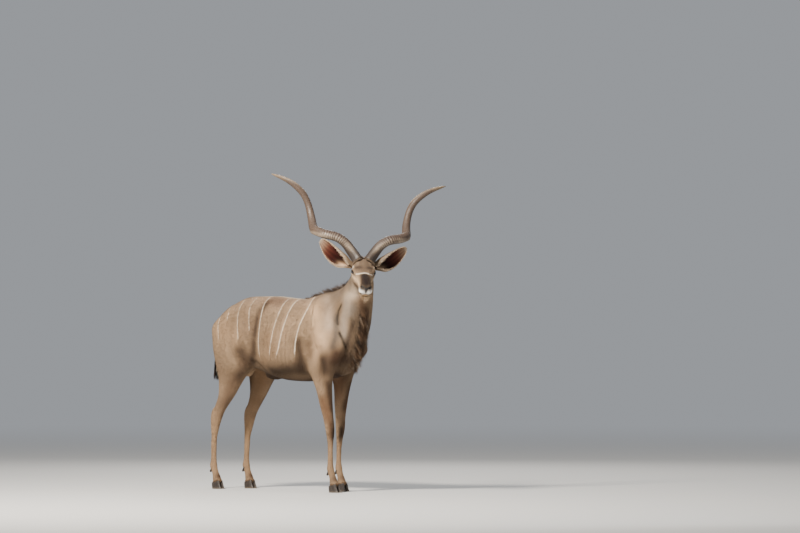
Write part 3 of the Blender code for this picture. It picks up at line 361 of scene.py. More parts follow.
# Thin pale stripes down the flank on the right side. The left side mirrors them.
STRIPES = [
    [(0.158, -0.17, 1.255), (0.168, -0.188, 1.22), (0.184, -0.213, 1.155), (0.214, -0.231, 1.069)],
    [(0.238, -0.14, 1.315), (0.25, -0.173, 1.274), (0.27, -0.212, 1.193)],
    [(0.338, -0.09, 1.375), (0.358, -0.178, 1.284), (0.38, -0.211, 1.158), (0.396, -0.216, 1.06)],
    [(0.44, -0.06, 1.39), (0.467, -0.171, 1.311), (0.483, -0.2, 1.22), (0.492, -0.205, 1.132)],
    [(0.56, -0.03, 1.4), (0.588, -0.159, 1.32), (0.601, -0.198, 1.249), (0.603, -0.214, 1.177),
     (0.599, -0.219, 1.088), (0.59, -0.2, 0.944)],
    [(0.744, -0.02, 1.39), (0.768, -0.151, 1.321), (0.771, -0.188, 1.268), (0.765, -0.22, 1.196),
     (0.75, -0.237, 1.098), (0.716, -0.221, 0.955)],
    [(0.84, -0.03, 1.385), (0.857, -0.15, 1.313), (0.858, -0.2, 1.233), (0.846, -0.23, 1.144),
     (0.82, -0.239, 1.028), (0.78, -0.228, 0.955)],
    [(1.002, -0.03, 1.405), (1.014, -0.124, 1.332), (0.999, -0.175, 1.242), (0.981, -0.202, 1.162),
     (0.972, -0.219, 1.073), (0.968, -0.223, 0.965)],
]
# How strongly each stripe shows.
STRIPE_SHARE = [0.65, 0.4, 0.75, 0.5, 1, 0.8, 0.95, 1]
# The white bar across the face, from side to side, in head coordinates.
CHEVRON = [(0.066, 0.058, 0.01), (0.086, 0.045, 0.022), (0.096, 0.026, 0.034), (0.092, 0, 0.04)]

# Colours in display values.
FAWN = (0.6, 0.5, 0.395)
CREAM = (0.86, 0.79, 0.69)
STRIPE_WHITE = (0.9, 0.84, 0.76)
WHITE = (1, 0.98, 0.95)
BLACK = (0.06, 0.05, 0.045)
GARTER = (0.05, 0.05, 0.05)
HOOF_EDGE = (0.21, 0.12, 0.08)
LID_RIM = (0.1, 0.075, 0.06)
LID_PALE = (0.74, 0.65, 0.54)
LIP_SEAM = (0.12, 0.08, 0.07)
EAR_BACK = (0.47, 0.39, 0.31)
EAR_LOBE = (0.7, 0.57, 0.45)
EAR_EDGE = (0.46, 0.33, 0.26)
THROAT_DARK = (0.17, 0.125, 0.095)
THROAT_PALE = (0.62, 0.53, 0.43)
LASH = (0.07, 0.055, 0.05)
# Colour strokes of the body on the right side: path, radius, colour, strength. Most are the
# coat's own colours; those marked below paint shade and highlights where the light falls.
BODY_PAINT = [
    # Painted highlight: the top of the back lighter, where the light falls from above.
    ([(0.15, 0, 1.33), (0.36, 0, 1.405), (0.88, 0, 1.39), (0.98, 0, 1.415)], 0.12, (0.65, 0.55, 0.46), 0.5),
    ([(0.05, 0, 1.225), (0.21, 0, 1.365), (0.36, 0, 1.405), (0.88, 0, 1.39), (0.985, 0, 1.405)],
     0.018, (0.86, 0.8, 0.7), 0.85),
    ([(0.62, -0.1, 1.37), (0.72, -0.1, 1.365)], 0.06, (0.46, 0.36, 0.29), 0.8),
    ([(0.7, -0.23, 1.1), (0.74, -0.23, 1)], 0.07, (0.53, 0.42, 0.315), 0.6),
    ([(0.84, -0.23, 1.2), (0.87, -0.23, 1.1)], 0.06, (0.64, 0.53, 0.42), 0.5),
    ([(0.44, -0.17, 1.3), (0.49, -0.19, 1.15)], 0.05, (0.46, 0.36, 0.28), 0.45),
    # Painted shade: a dark band down the hip fold beside the fifth stripe.
    ([(0.6, -0.13, 1.35), (0.582, -0.16, 1.3), (0.565, -0.19, 1.23), (0.55, -0.2, 1.12)],
     0.034, (0.29, 0.22, 0.17), 0.85),
    # Painted shade: the flank fold running down to the stifle.
    ([(0.54, -0.19, 1.06), (0.525, -0.185, 1), (0.46, -0.145, 0.92)], 0.038, (0.22, 0.155, 0.11), 0.85),
    ([(0.23, -0.22, 1.16), (0.34, -0.22, 1.12)], 0.09, (0.66, 0.54, 0.42), 0.7),
    # Painted shade: the fold in front of the stifle.
    ([(0.41, -0.2, 1), (0.43, -0.18, 0.91), (0.37, -0.18, 0.83)], 0.055, (0.26, 0.19, 0.14), 0.8),
    ([(0.6, -0.19, 0.97), (0.65, -0.19, 0.94)], 0.045, (0.56, 0.45, 0.34), 0.6),
    # Painted shade: the lower flank, darker towards the belly.
    ([(0.7, -0.16, 0.85), (0.9, -0.19, 0.875), (1, -0.18, 0.89)], 0.07, (0.23, 0.17, 0.12), 0.9),
    # Painted shade: the underside of the belly.
    ([(0.56, 0, 0.82), (0.76, 0, 0.79), (1.1, 0, 0.81)], 0.12, (0.23, 0.165, 0.115), 0.92),
    # Painted shade: the groove behind the shoulder.
    ([(0.995, -0.21, 1.07), (1.015, -0.21, 0.98), (1, -0.18, 0.88)], 0.048, (0.22, 0.16, 0.115), 0.85),
    ([(0.06, -0.06, 1.15), (0.075, -0.08, 0.98), (0.12, -0.08, 0.86)], 0.06, (0.61, 0.49, 0.38), 0.7),
    ([(0.13, -0.16, 0.93), (0.15, -0.15, 0.84)], 0.04, (0.42, 0.33, 0.26), 0.5),
    # Painted highlight: the sunlit face of the shoulder.
    ([(1.1, -0.15, 1.34), (1.19, -0.2, 1.2), (1.225, -0.22, 1.06), (1.2, -0.22, 0.98)],
     0.07, (0.82, 0.685, 0.545), 0.92),
    ([(1.1, -0.21, 1.06), (1.115, -0.217, 0.99)], 0.04, (0.42, 0.33, 0.25), 0.65),
    # Painted highlight: along the top ridge of the shoulder.
    ([(1.15, -0.07, 1.395), (1.21, -0.11, 1.33), (1.262, -0.173, 1.2)], 0.045, (0.8, 0.7, 0.6), 0.9),
    ([(1.24, -0.205, 0.955), (1.245, -0.2, 0.87)], 0.05, (0.21, 0.15, 0.11), 0.88),
    # Painted shade: the groove in front of the shoulder.
    ([(1.3, -0.13, 1.26), (1.33, -0.17, 1.12), (1.32, -0.19, 1.04)], 0.028, (0.38, 0.335, 0.295), 0.88),
    # Painted shade: the chest below the point of the shoulder.
    ([(1.335, -0.17, 0.99), (1.31, -0.17, 0.94)], 0.04, (0.25, 0.175, 0.125), 0.85),
    # Painted shade: the underside of the chest.
    ([(1.3, -0.12, 0.96), (1.36, -0.06, 0.96), (1.39, 0, 0.99)], 0.09, (0.24, 0.16, 0.12), 0.92),
    # Painted shade: the chest between the forelegs.
    ([(1.2, -0.1, 0.86), (1.22, 0, 0.85)], 0.07, (0.2, 0.13, 0.09), 0.85),
    ([(1.05, -0.05, 1.42), (1.2, -0.04, 1.44)], 0.04, (0.5, 0.43, 0.36), 0.6),
    ([(1.26, -0.09, 1.44), (1.4, -0.13, 1.52), (1.5, -0.15, 1.56)], 0.08, (0.57, 0.5, 0.43), 0.9),
    # Partly the neck's paler grey, partly a painted highlight where the light strikes the side of the neck.
    ([(1.4, -0.14, 1.39), (1.47, -0.155, 1.42), (1.52, -0.15, 1.44)], 0.05, (0.76, 0.68, 0.59), 0.9),
    ([(1.43, -0.13, 1.29), (1.46, -0.13, 1.32)], 0.045, (0.585, 0.53, 0.475), 0.85),
    ([(1.56, -0.135, 1.42), (1.54, -0.115, 1.36), (1.52, -0.095, 1.3)], 0.03, (0.36, 0.25, 0.19), 0.85),
    ([(1.4, -0.14, 1.35), (1.378, -0.131, 1.28), (1.365, -0.129, 1.19), (1.37, -0.123, 1.11)],
     0.034, (0.625, 0.56, 0.49), 0.92),
    ([(1.437, -0.1, 1.24), (1.41, -0.1, 1.15), (1.378, -0.1, 1.06)], 0.02, (0.27, 0.22, 0.185), 0.85),
    # Painted shade: a thin dark line in the crease round the neck lobe.
    ([(1.337, -0.12, 1.344), (1.308, -0.122, 1.3), (1.305, -0.13, 1.25), (1.32, -0.137, 1.2)],
     0.009, BLACK, 0.92),
    # Painted shade: the crease at the lower end of the neck lobe.
    ([(1.345, -0.148, 1.14), (1.366, -0.135, 1.07), (1.372, -0.105, 1.03)], 0.012, BLACK, 0.9),
    # Painted shade: the throat beneath the long fringe.
    ([(1.41, -0.02, 1.06), (1.455, -0.045, 1.17), (1.5, -0.08, 1.28)], 0.045, (0.21, 0.15, 0.11), 0.9),
    ([(0.32, -0.17, 0.8), (0.25, -0.178, 0.69), (0.21, -0.157, 0.63)], 0.055, (0.31, 0.23, 0.17), 0.82),
    ([(0.12, -0.14, 0.72), (0.08, -0.14, 0.62)], 0.035, (0.56, 0.43, 0.31), 0.8),
    ([(0.16, -0.14, 0.62), (0.13, -0.13, 0.54)], 0.035, (0.34, 0.245, 0.165), 0.75),
    ([(0.2, -0.2, 0.88), (0.2, -0.17, 0.72), (0.11, -0.15, 0.58)], 0.09, (0.5, 0.41, 0.33), 0.45),
    ([(0.08, -0.13, 0.56), (0.07, -0.13, 0.48)], 0.05, (0.55, 0.445, 0.34), 0.8),
    ([(0.07, -0.128, 0.44), (0.055, -0.126, 0.2), (0.06, -0.124, 0.14)], 0.06, (0.57, 0.46, 0.35), 0.95),
    ([(0.03, -0.128, 0.2), (0.022, -0.124, 0.14)], 0.018, GARTER, 0.95),
    ([(0.1, -0.122, 0.09), (0.09, -0.122, 0.06)], 0.03, HOOF_EDGE, 0.92),
    ([(1.16, -0.15, 0.85), (1.19, -0.18, 0.72)], 0.05, (0.6, 0.5, 0.4), 0.8),
    ([(1.24, -0.16, 0.78), (1.25, -0.13, 0.6)], 0.033, (0.2, 0.13, 0.09), 0.85),
    ([(1.2, -0.175, 0.66), (1.23, -0.15, 0.54)], 0.045, (0.4, 0.285, 0.2), 0.84),
    ([(1.245, -0.135, 0.49), (1.24, -0.12, 0.4)], 0.03, (0.3, 0.2, 0.13), 0.8),
    ([(1.19, -0.11, 0.44), (1.19, -0.11, 0.33)], 0.022, GARTER, 0.95),
    ([(1.252, -0.095, 0.45), (1.238, -0.092, 0.36)], 0.02, (0.13, 0.08, 0.06), 0.9),
    ([(1.215, -0.108, 0.32), (1.212, -0.106, 0.2), (1.215, -0.105, 0.15)], 0.05, (0.56, 0.45, 0.34), 0.92),
    ([(1.262, -0.112, 0.64), (1.262, -0.104, 0.4)], 0.022, (0.15, 0.1, 0.075), 0.85),
    ([(1.185, -0.106, 0.2), (1.182, -0.105, 0.14)], 0.018, GARTER, 0.95),
    ([(1.25, -0.103, 0.09), (1.245, -0.103, 0.06)], 0.03, HOOF_EDGE, 0.92),
    ([(-0.005, 0, 1.2), (-0.02, 0, 1)], 0.03, (0.53, 0.41, 0.3), 0.8),
    ([(-0.035, 0, 0.9), (-0.04, 0, 0.8)], 0.045, GARTER, 0.95),
    ([(1.06, 0, 1.43), (1.2, 0, 1.45), (1.32, -0.02, 1.5)], 0.026, (0.26, 0.2, 0.155), 0.85),
]
# Inner faces of the legs, darker: partly their own darker hair, partly painted shade between
# the legs and in the groin: path, radius, colour, strength.
INNER_PAINT = [
    # Painted shade: deep inside the thigh, at the groin.
    ([(0.24, -0.06, 0.9), (0.19, -0.07, 0.8), (0.13, -0.08, 0.71)], 0.032, (0.17, 0.1, 0.06), 0.9),
    ([(1.18, -0.07, 0.8), (1.17, -0.07, 0.72)], 0.05, (0.44, 0.33, 0.25), 0.85),
    ([(0.33, -0.07, 0.87), (0.3, -0.07, 0.8)], 0.05, (0.5, 0.39, 0.29), 0.85),
    ([(0.27, -0.07, 0.76), (0.22, -0.08, 0.66)], 0.05, (0.45, 0.35, 0.26), 0.7),
]
# Colour strokes of the head in its own coordinates on the left side.
FACE_PAINT = [
    ([(-0.09, 0.03, 0.06), (-0.02, 0.04, 0.066), (0.04, 0.03, 0.05)], 0.045, (0.43, 0.35, 0.28), 0.9),
    ([(-0.08, 0.072, -0.05), (0.02, 0.074, -0.06)], 0.045, (0.7, 0.595, 0.48), 0.8),
    ([(-0.03, 0.045, 0.062), (0, 0.05, 0.056)], 0.012, (0.64, 0.55, 0.45), 0.7),
    ([(0.03, 0.03, 0.052), (0.02, 0.056, 0.04)], 0.016, (0.22, 0.165, 0.13), 0.8),
    ([(0.11, 0.05, -0.02), (0.19, 0.046, -0.03)], 0.028, (0.86, 0.745, 0.6), 0.95),
    ([(0.05, 0.068, -0.03), (0.11, 0.054, -0.05)], 0.03, (0.84, 0.73, 0.6), 0.9),
    ([(0.125, 0, 0.036), (0.23, 0, 0.02)], 0.033, (0.13, 0.09, 0.075), 0.97),
    ([(0.13, 0.02, 0.032), (0.228, 0.028, 0.01)], 0.015, (0.17, 0.12, 0.1), 0.85),
    ([(0.006, 0.078, 0.032), (-0.012, 0.08, 0.034)], 0.008, (0.88, 0.82, 0.73), 0.9),
    ([(0.02, 0.078, -0.03)], 0.012, (0.76, 0.66, 0.54), 0.6),
    ([(0.055, 0.068, -0.006), (0.036, 0.07, -0.006)], 0.008, (0.1, 0.075, 0.06), 0.95),
    ([(-0.05, 0.06, 0.066), (-0.1, 0.05, 0.06)], 0.03, (0.4, 0.33, 0.27), 0.8),
    ([(-0.115, 0.06, 0.01), (-0.1, 0.07, -0.01)], 0.022, (0.24, 0.175, 0.14), 0.8),
    ([(0.11, 0.046, -0.078), (0.19, 0.04, -0.076)], 0.016, (0.6, 0.48, 0.36), 0.7),
    ([(0.262, 0.02, 0), (0.248, 0.036, -0.002), (0.256, 0.028, -0.018)], 0.014, BLACK, 0.98),
    ([(0.266, 0, 0.006), (0.276, 0, -0.034)], 0.0135, BLACK, 0.98),
    ([(0.27, 0.018, -0.01)], 0.012, BLACK, 0.95),
    ([(0.268, 0.021, -0.038), (0.25, 0.041, -0.036), (0.236, 0.046, -0.032)], 0.0125, WHITE, 0.99),
    ([(0.27, 0.01, -0.046), (0.262, 0.026, -0.05)], 0.009, WHITE, 0.97),
    ([(0.246, 0.036, -0.057), (0.224, 0.045, -0.052), (0.198, 0.045, -0.058)],
     0.0075, (0.07, 0.05, 0.045), 0.96),
    ([(0.25, 0, -0.072), (0.226, 0.02, -0.08), (0.19, 0.01, -0.09)], 0.02, (0.8, 0.66, 0.48), 0.95),
    ([(0.11, 0, -0.1), (0.02, 0, -0.124)], 0.04, (0.44, 0.35, 0.28), 0.8),
]
# The smooth side of the neck behind the long hair of the throat.
SMOOTH_SIDE = [(1.4, -0.14, 1.36), (1.372, -0.13, 1.25), (1.365, -0.125, 1.1)]
# Dark and light end of each tone of the long hair. A lock takes a tone by these shares.
TONE_SHARES = np.array([0.46, 0.26, 0.18, 0.10])
FRINGE_TONES = [
    ((0.1, 0.075, 0.055), (0.25, 0.18, 0.13)),
    ((0.22, 0.16, 0.115), (0.42, 0.32, 0.24)),
    ((0.38, 0.28, 0.2), (0.62, 0.5, 0.38)),
    ((0.52, 0.45, 0.37), (0.84, 0.78, 0.7)),
]
TAN_HAIR = (0.42, 0.31, 0.235), (0.68, 0.54, 0.42)
MANE_TONES = [((0.15, 0.115, 0.09), (0.32, 0.25, 0.2)), ((0.27, 0.21, 0.165), (0.46, 0.38, 0.31))]
TAIL_TONES = [((0.07, 0.05, 0.045), (0.16, 0.12, 0.1)), ((0.14, 0.1, 0.08), (0.3, 0.22, 0.17))]
TAIL_PALE = (0.6, 0.52, 0.42), (0.85, 0.8, 0.72)
BEARD_TONES = [((0.76, 0.65, 0.51), (0.92, 0.84, 0.72)), ((0.58, 0.46, 0.35), (0.84, 0.72, 0.58))]


def steady_spline(x, y, at):
    """Cubic through the points (x, y) that never overshoots them, read at `at`."""
    x, y = np.asarray(x, float), np.asarray(y, float)
    step = np.diff(x)
    slope = np.diff(y, axis=0) / step[:, None]
    before, after = slope[:-1], slope[1:]
    safe = np.where(before * after > 0, before + after, 1.0)
    inner = np.where(before * after > 0, 2 * before * after / safe, 0.0)
    tangent = np.vstack([slope[:1], inner, slope[-1:]])
    i = np.clip(np.searchsorted(x, at, side="right") - 1, 0, len(x) - 2)
    t = ((at - x[i]) / step[i])[:, None]
    h = step[i][:, None]
    return (
        (1 + 2 * t) * (1 - t) ** 2 * y[i]
        + t * (1 - t) ** 2 * h * tangent[i]
        + t * t * (3 - 2 * t) * y[i + 1]
        + t * t * (t - 1) * h * tangent[i + 1]
    )


def loft(ribs, rings, around):
    """Points and faces of a closed tube through `ribs`.

    A rib is a point on one outline, the point facing it, the half width across,
    the fullness of its superellipse (2 is an ellipse) and the share by which it
    widens towards the first point.
    """
    rows = np.array([[*a, *b, *rest] for a, b, *rest in ribs], float)
    middle = (rows[:, :3] + rows[:, 3:6]) / 2
    along = way_along(middle)
    rows = steady_spline(along, rows, np.linspace(0, along[-1], rings))
    first, second = rows[:, :3], rows[:, 3:6]
    middle, half = (first + second) / 2, (first - second) / 2
    course = np.gradient(middle, axis=0)
    side = np.cross(half, course)
    side /= np.linalg.norm(side, axis=1)[:, None]
    angle = np.linspace(0, 2 * math.pi, around, endpoint=False)
    rise, reach = np.sin(angle), np.cos(angle)
    power = 2 / rows[:, 7:8]
    up = np.sign(rise) * np.abs(rise) ** power
    out = np.sign(reach) * np.abs(reach) ** power * (1 + rows[:, 8:9] * rise)
    points = (
        middle[:, None]
        + up[..., None] * half[:, None]
        + out[..., None] * (side * rows[:, 6:7])[:, None]
    )
    return points.reshape(-1, 3), tube_faces(rings, around)


def tube_faces(rings, around):
    """Quads between rings of points, with a flat cap on each end."""
    ring, spoke = np.meshgrid(np.arange(rings - 1), np.arange(around), indexing="ij")
    here, beside = ring * around + spoke, ring * around + (spoke + 1) % around
    quads = np.stack([here, beside, beside + around, here + around], -1)
    last = (rings - 1) * around
    caps = [list(range(around))[::-1], list(range(last, last + around))]
    return quads.reshape(-1, 4).tolist() + caps


def linear(colour):
    """Display values of a colour to the linear ones that shaders take."""
    colour = np.asarray(colour, float)
    return np.where(colour <= 0.04045, colour / 12.92, ((colour + 0.055) / 1.055) ** 2.4)


def soft_step(low, high, value):
    """0 below `low`, 1 above `high` and a smooth S curve between them."""
    share = np.clip((value - low) / (high - low), 0, 1)
    return share * share * (3 - 2 * share)


def unit(vectors):
    """Each vector divided by its own length."""
    return vectors / np.maximum(np.linalg.norm(vectors, axis=-1, keepdims=True), 1e-9)


def square_to(way, out):
    """The part of `out` square to `way`, at length one."""
    return unit(out - way * (out * way).sum(-1, keepdims=True))


def near_path(points, path):
    """Distance of each point from a broken line: from the nearest point of its nearest run."""
    path = np.asarray(path, float)
    if len(path) == 1:
        return np.linalg.norm(points - path[0], axis=1)
    best = np.full(len(points), np.inf)
    for start, end in zip(path[:-1], path[1:]):
        run = end - start
        share = np.clip(((points - start) @ run) / max(run @ run, 1e-12), 0, 1)
        best = np.minimum(best, np.linalg.norm(points - start - share[:, None] * run, axis=1))
    return best


def bell(offset, width, power=2):
    """1 at no offset, falling to 1/e at `width`: e to the minus the ratio to a power."""
    return np.exp(-((offset / width) ** power))


def toward(tint, colour, share):
    """Linear colours moved to a display colour by a share each."""
    return tint + (linear(colour) - tint) * share[:, None]


def way_along(line):
    """How far each point of a line lies from its start, measured along it."""
    return np.r_[0, np.cumsum(np.linalg.norm(np.diff(line, axis=0), axis=1))]


def leg_shift(x, y, height):
    """How far forward a leg at x and y is moved at a height: not at all on the right side."""
    rows = np.array(sorted(FORE_STAGGER if x > MID_BODY else HIND_STAGGER))
    return np.interp(height, rows[:, 0], rows[:, 1]) if y > 0 else 0.0


def level_frame():
    """Turn from the head's level axes (forward, left, up) to the model."""
    yaw = Matrix.Rotation(math.radians(HEAD_YAW), 4, "Z")
    return yaw @ Matrix.Rotation(math.radians(-HEAD_ROLL), 4, "X")


def head_frame():
    """Matrix from head coordinates (forward along the face, left, up) to the model."""
    pitch = Matrix.Rotation(math.radians(HEAD_PITCH), 4, "Y")
    return Matrix.Translation(EYE_LEVEL) @ level_frame() @ pitch


LEVEL = np.array(level_frame())[:3, :3]
HEAD_TURN = np.array(head_frame())[:3, :3]
HEAD_PLACE = np.array(head_frame())[:3, 3]


def to_model(points):
    """Head coordinates to the tables' coordinates."""
    return np.asarray(points, float) @ HEAD_TURN.T + HEAD_PLACE


def to_head(points):
    """The tables' coordinates to head coordinates."""
    return (np.asarray(points, float) - HEAD_PLACE) @ HEAD_TURN


def mirrored(strokes):
    """Each stroke and its twin on the other side."""
    both = []
    for path, *rest in strokes:
        both += [(path, *rest), ([(x, -y, z) for x, y, z in path], *rest)]
    return both


def body_strokes(strokes):
    """Strokes of both sides of the body, those of the left legs moved with their legs."""
    both = []
    for path, *rest in mirrored(strokes):
        moved = [(x + (leg_shift(x, y, z) if z < LEG_TOP else 0.0), y, z) for x, y, z in path]
        both.append((moved, *rest))
    return both


def face_strokes(strokes):
    return [(to_model(path), *rest) for path, *rest in mirrored(strokes)]


def leg_ribs(table, side):
    """Ribs of one leg. `side` is 1 for the left and -1 for the right."""
    ribs = []
    for z, front, back, y, half in table:
        shift = leg_shift(front, side, z)
        ribs.append(((front + shift, side * y, z), (back + shift, side * y, z), half, 2.0, 0.0))
    return ribs


def head_ribs():
    """Ribs of the head, from its own frame to the model's."""
    ribs = []
    for forward, top, jaw, *rest in HEAD:
        first, second = to_model([(forward, 0, top), (forward, 0, jaw)])
        ribs.append((tuple(first), tuple(second), *rest))
    return ribs


def ellipsoid(centre, radii, rings, around):
    """A unit sphere by polar angle and turn, stretched by `radii` and moved to `centre`."""
    polar = np.linspace(0.03, math.pi - 0.03, rings)[:, None]
    turn = np.linspace(0, 2 * math.pi, around, endpoint=False)[None]
    ball = [np.sin(polar) * np.cos(turn), np.cos(polar) + 0 * turn, np.sin(polar) * np.sin(turn)]
    points = np.stack(ball, -1).reshape(-1, 3) * radii + centre
    return points, tube_faces(rings, around)


def flesh_tubes():
    """Trunk, neck, head, legs and tail as overlapping closed lofts."""
    trunk = [((a, 0, b), (c, 0, d), *rest) for a, b, c, d, *rest in TRUNK]
    neck = [(row[:3], row[3:6], *row[6:]) for row in NECK]
    tail = [((back, 0, z), (front, 0, z), half, 2.0, 0.0) for z, back, front, half in TAIL]
    tubes = [loft(trunk, 96, 80), loft(neck, 60, 64), loft(head_ribs(), 90, 72), loft(tail, 50, 24)]
    tubes += [loft(leg_ribs(table, side), 130, 40) for table in (FORELEG, HINDLEG) for side in (-1, 1)]
    return tubes + [ellipsoid(*SHEATH, 24, 28), ellipsoid(*SCROTUM, 24, 28)]


def joined(parts):
    """Points and faces of several closed surfaces as one list each."""
    points, faces, start = [], [], 0
    for part_points, part_faces in parts:
        points.append(np.asarray(part_points))
        faces += [[i + start for i in face] for face in part_faces]
        start += len(part_points)
    return np.vstack(points), faces


def new_object(name, points, faces):
    """A new mesh object at the origin from points in the tables' coordinates."""
    mesh = bpy.data.meshes.new(name)
    mesh.from_pydata((np.asarray(points) - ORIGIN).tolist(), [], faces)
    mesh.update()
    made = bpy.data.objects.new(name, mesh)
    bpy.context.scene.collection.objects.link(made)
    return made


@contextmanager
def editing(mesh):
    """A bmesh of a mesh, written back when the block ends."""
    work = bmesh.new()
    work.from_mesh(mesh)
    yield work
    work.to_mesh(mesh)
    work.free()


def closed_piece(name, surface, weld=0.0, triangles=False, **columns):
    """A new smooth piece with its faces outwards, and each column kept as an attribute.

    Points closer than `weld` become one, and `triangles` splits the faces.
    """
    made = new_object(name, *surface)
    for key, values in columns.items():
        set_attribute(made.data, key, values)
    with editing(made.data) as work:
        if weld:
            bmesh.ops.remove_doubles(work, verts=work.verts, dist=weld)
        bmesh.ops.recalc_face_normals(work, faces=work.faces)
        if triangles:
            bmesh.ops.triangulate(work, faces=work.faces)
    made.data.polygons.foreach_set("use_smooth", np.ones(len(made.data.polygons), bool))
    made.data.update()
    return made


def read(items, key, width, kind=float):
    """`width` numbers from each of a mesh's items, one row an item."""
    values = np.empty(len(items) * width, kind)
    items.foreach_get(key, values)
    return values.reshape(-1, width)


def read_points(mesh):
    return read(mesh.vertices, "co", 3) + ORIGIN


def read_normals(mesh):
    return read(mesh.vertex_normals, "vector", 3)


def read_edges(mesh):
    return read(mesh.edges, "vertices", 2, np.int32)


def write_points(mesh, points):
    mesh.vertices.foreach_set("co", (points - ORIGIN).ravel())
    mesh.update()


def read_triangles(mesh):
    mesh.calc_loop_triangles()
    return read(mesh.loop_triangles, "vertices", 3, np.int32)


def apply_modifiers(made):
    """Replaces an object's mesh by what its modifiers make of it."""
    bpy.context.view_layer.update()
    graph = bpy.context.evaluated_depsgraph_get()
    mesh = bpy.data.meshes.new_from_object(made.evaluated_get(graph))
    made.modifiers.clear()
    made.data = mesh
    return made


def relax(points, edges, rounds, weight):
    """Moves each point half way to the mean of its neighbours, `rounds` times, by `weight`."""
    count = len(points)
    ends = np.concatenate([edges, edges[:, ::-1]])
    degree = np.maximum(np.bincount(ends[:, 0], minlength=count), 1)
    step = 0.5 * np.broadcast_to(weight, (count,)) / degree
    for _ in range(rounds):
        moved = np.empty_like(points)
        for axis in range(3):
            near = np.bincount(ends[:, 0], points[ends[:, 1], axis], minlength=count)
            moved[:, axis] = points[:, axis] + (near - points[:, axis] * degree) * step
        points = moved
    return points


def model_by_strokes(mesh, strokes):
    """Raises or sinks the skin along its normals by a bell curve round each stroke's path."""
    points, normals = read_points(mesh), read_normals(mesh)
    lift = np.zeros(len(points))
    for path, radius, height in strokes:
        lift += height * bell(near_path(points, path), radius)
    write_points(mesh, points + normals * lift[:, None])


def head_share(points):
    """1 on the head, 0 on the neck, with soft steps of 6 cm behind the poll and below the jaw."""
    near = to_head(points)
    inside = (np.abs(near[:, 1]) < 0.13) & (near[:, 2] < 0.16)
    inside = inside * soft_step(-0.2, -0.138, near[:, 2])
    return soft_step(-0.115, -0.06, near[:, 0]) * inside


def subdivide_where(mesh, chosen):
    """Halves every edge of the faces whose middles `chosen` accepts, and leaves triangles."""
    near = chosen(read(mesh.polygons, "center", 3) + ORIGIN)
    with editing(mesh) as work:
        work.faces.ensure_lookup_table()
        edges = {edge for i in np.flatnonzero(near) for edge in work.faces[i].edges}
        bmesh.ops.subdivide_edges(work, edges=list(edges), cuts=1, use_grid_fill=True)
        bmesh.ops.triangulate(work, faces=work.faces)


def close_to(centres, radius):
    """A test for places within `radius` of any centre."""
    def near(places):
        away = [np.linalg.norm(places - centre, axis=1) for centre in centres]
        return np.min(away, axis=0) < radius
    return near


def seat_place(seat, side):
    """A seat on the left of the head, or its mirror image for side -1, in the model."""
    return to_model([(seat.x, seat.y * side, seat.z)])[0]


def eye_centre(side):
    return seat_place(EYE_SEAT, side)


def eye_axes(side):
    """Outward gaze, the line from corner to corner of the lids, and across it."""
    gaze = np.array(Vector((EYE_GAZE.x, EYE_GAZE.y * side, EYE_GAZE.z)).normalized())
    corner = square_to(gaze, np.array((0.93, 0.0, -0.3)))
    return HEAD_TURN @ gaze, HEAD_TURN @ corner, HEAD_TURN @ np.cross(gaze, corner) * -side


def lid_place(points, side):
    """Where points lie round an eye: depth along the gaze, radius, almond measure and height.

    The almond measure is 1 on the edge of the lids: the length of the offset across the
    gaze with its part along the corners over LID_REACH and its part across over LID_RISE,
    less a quarter towards the corners.
    """
    gaze, corner, across = eye_axes(side)
    off = points - eye_centre(side)
    depth, reach, rise = off @ gaze, off @ corner, off @ across
    slim = LID_RISE * (1 - 0.25 * np.clip(reach / LID_REACH, -1, 1) ** 2)
    return depth, np.linalg.norm(off, axis=1), np.hypot(reach / LID_REACH, rise / slim), rise


def model_lids(mesh):
    """Wraps the lids over each eyeball and opens them.

    Round the eye the skin is drawn to a sphere a lid's thickness over the ball. Within
    the almond it is pushed behind the ball, and a fold follows the upper lid.
    """
    points = read_points(mesh)
    for side in (-1, 1):
        gaze = eye_axes(side)[0]
        centre = eye_centre(side)
        depth, radius, almond, rise = lid_place(points, side)
        near = (depth > -0.004) & (radius < 0.06)
        flat = points - centre - depth[:, None] * gaze
        wide = np.linalg.norm(flat, axis=1)
        sphere = EYE_RADIUS + LID
        cap = np.sqrt(np.maximum(sphere ** 2 - wide ** 2, 1e-8))
        drawn = (1 - soft_step(1.05, 1.75, almond)) * near
        wanted = depth + (cap - depth) * drawn * (wide < sphere * 0.97)
        wanted += 0.0007 * bell(almond - 1.06, 0.07) * near
        wanted -= 0.0016 * bell(almond - 1.5, 0.12) * (rise > -0.002) * near
        inside = (1 - soft_step(0.93, 1.01, almond)) * near
        hollow = np.sqrt(np.maximum((EYE_RADIUS - 0.004) ** 2 - wide ** 2, 1e-8))
        wanted += (hollow - wanted) * inside * (wide < EYE_RADIUS)
        points = centre + flat + wanted[:, None] * gaze
    write_points(mesh, points)


def mouth_path():
    """The line of the lips from corner to corner: a half ellipse round the front of the muzzle."""
    turn = np.linspace(-1, 1, 25)
    angle = turn * math.pi / 2
    forward = 0.205 + 0.062 * np.cos(angle) ** 0.8 - 0.03 * np.maximum(0, np.abs(turn) - 0.7)
    return np.stack([forward, 0.044 * np.sin(angle), -0.05 - 0.006 * np.abs(turn)], 1)


def onto_skin(points, normals, path):
    """Each point of a path moved along the nearest skin point's normal into its plane."""
    moved = []
    for place in np.asarray(path, float):
        nearest = np.argmin(np.linalg.norm(points - place, axis=1))
        normal = normals[nearest]
        moved.append(place + normal * ((points[nearest] - place) @ normal))
    return np.array(moved)


def spread_path(path, count):
    """A path with `count` points, on the spline through the given ones."""
    path = np.asarray(path, float)
    along = way_along(path)
    return steady_spline(along, path, np.linspace(0, along[-1], count))


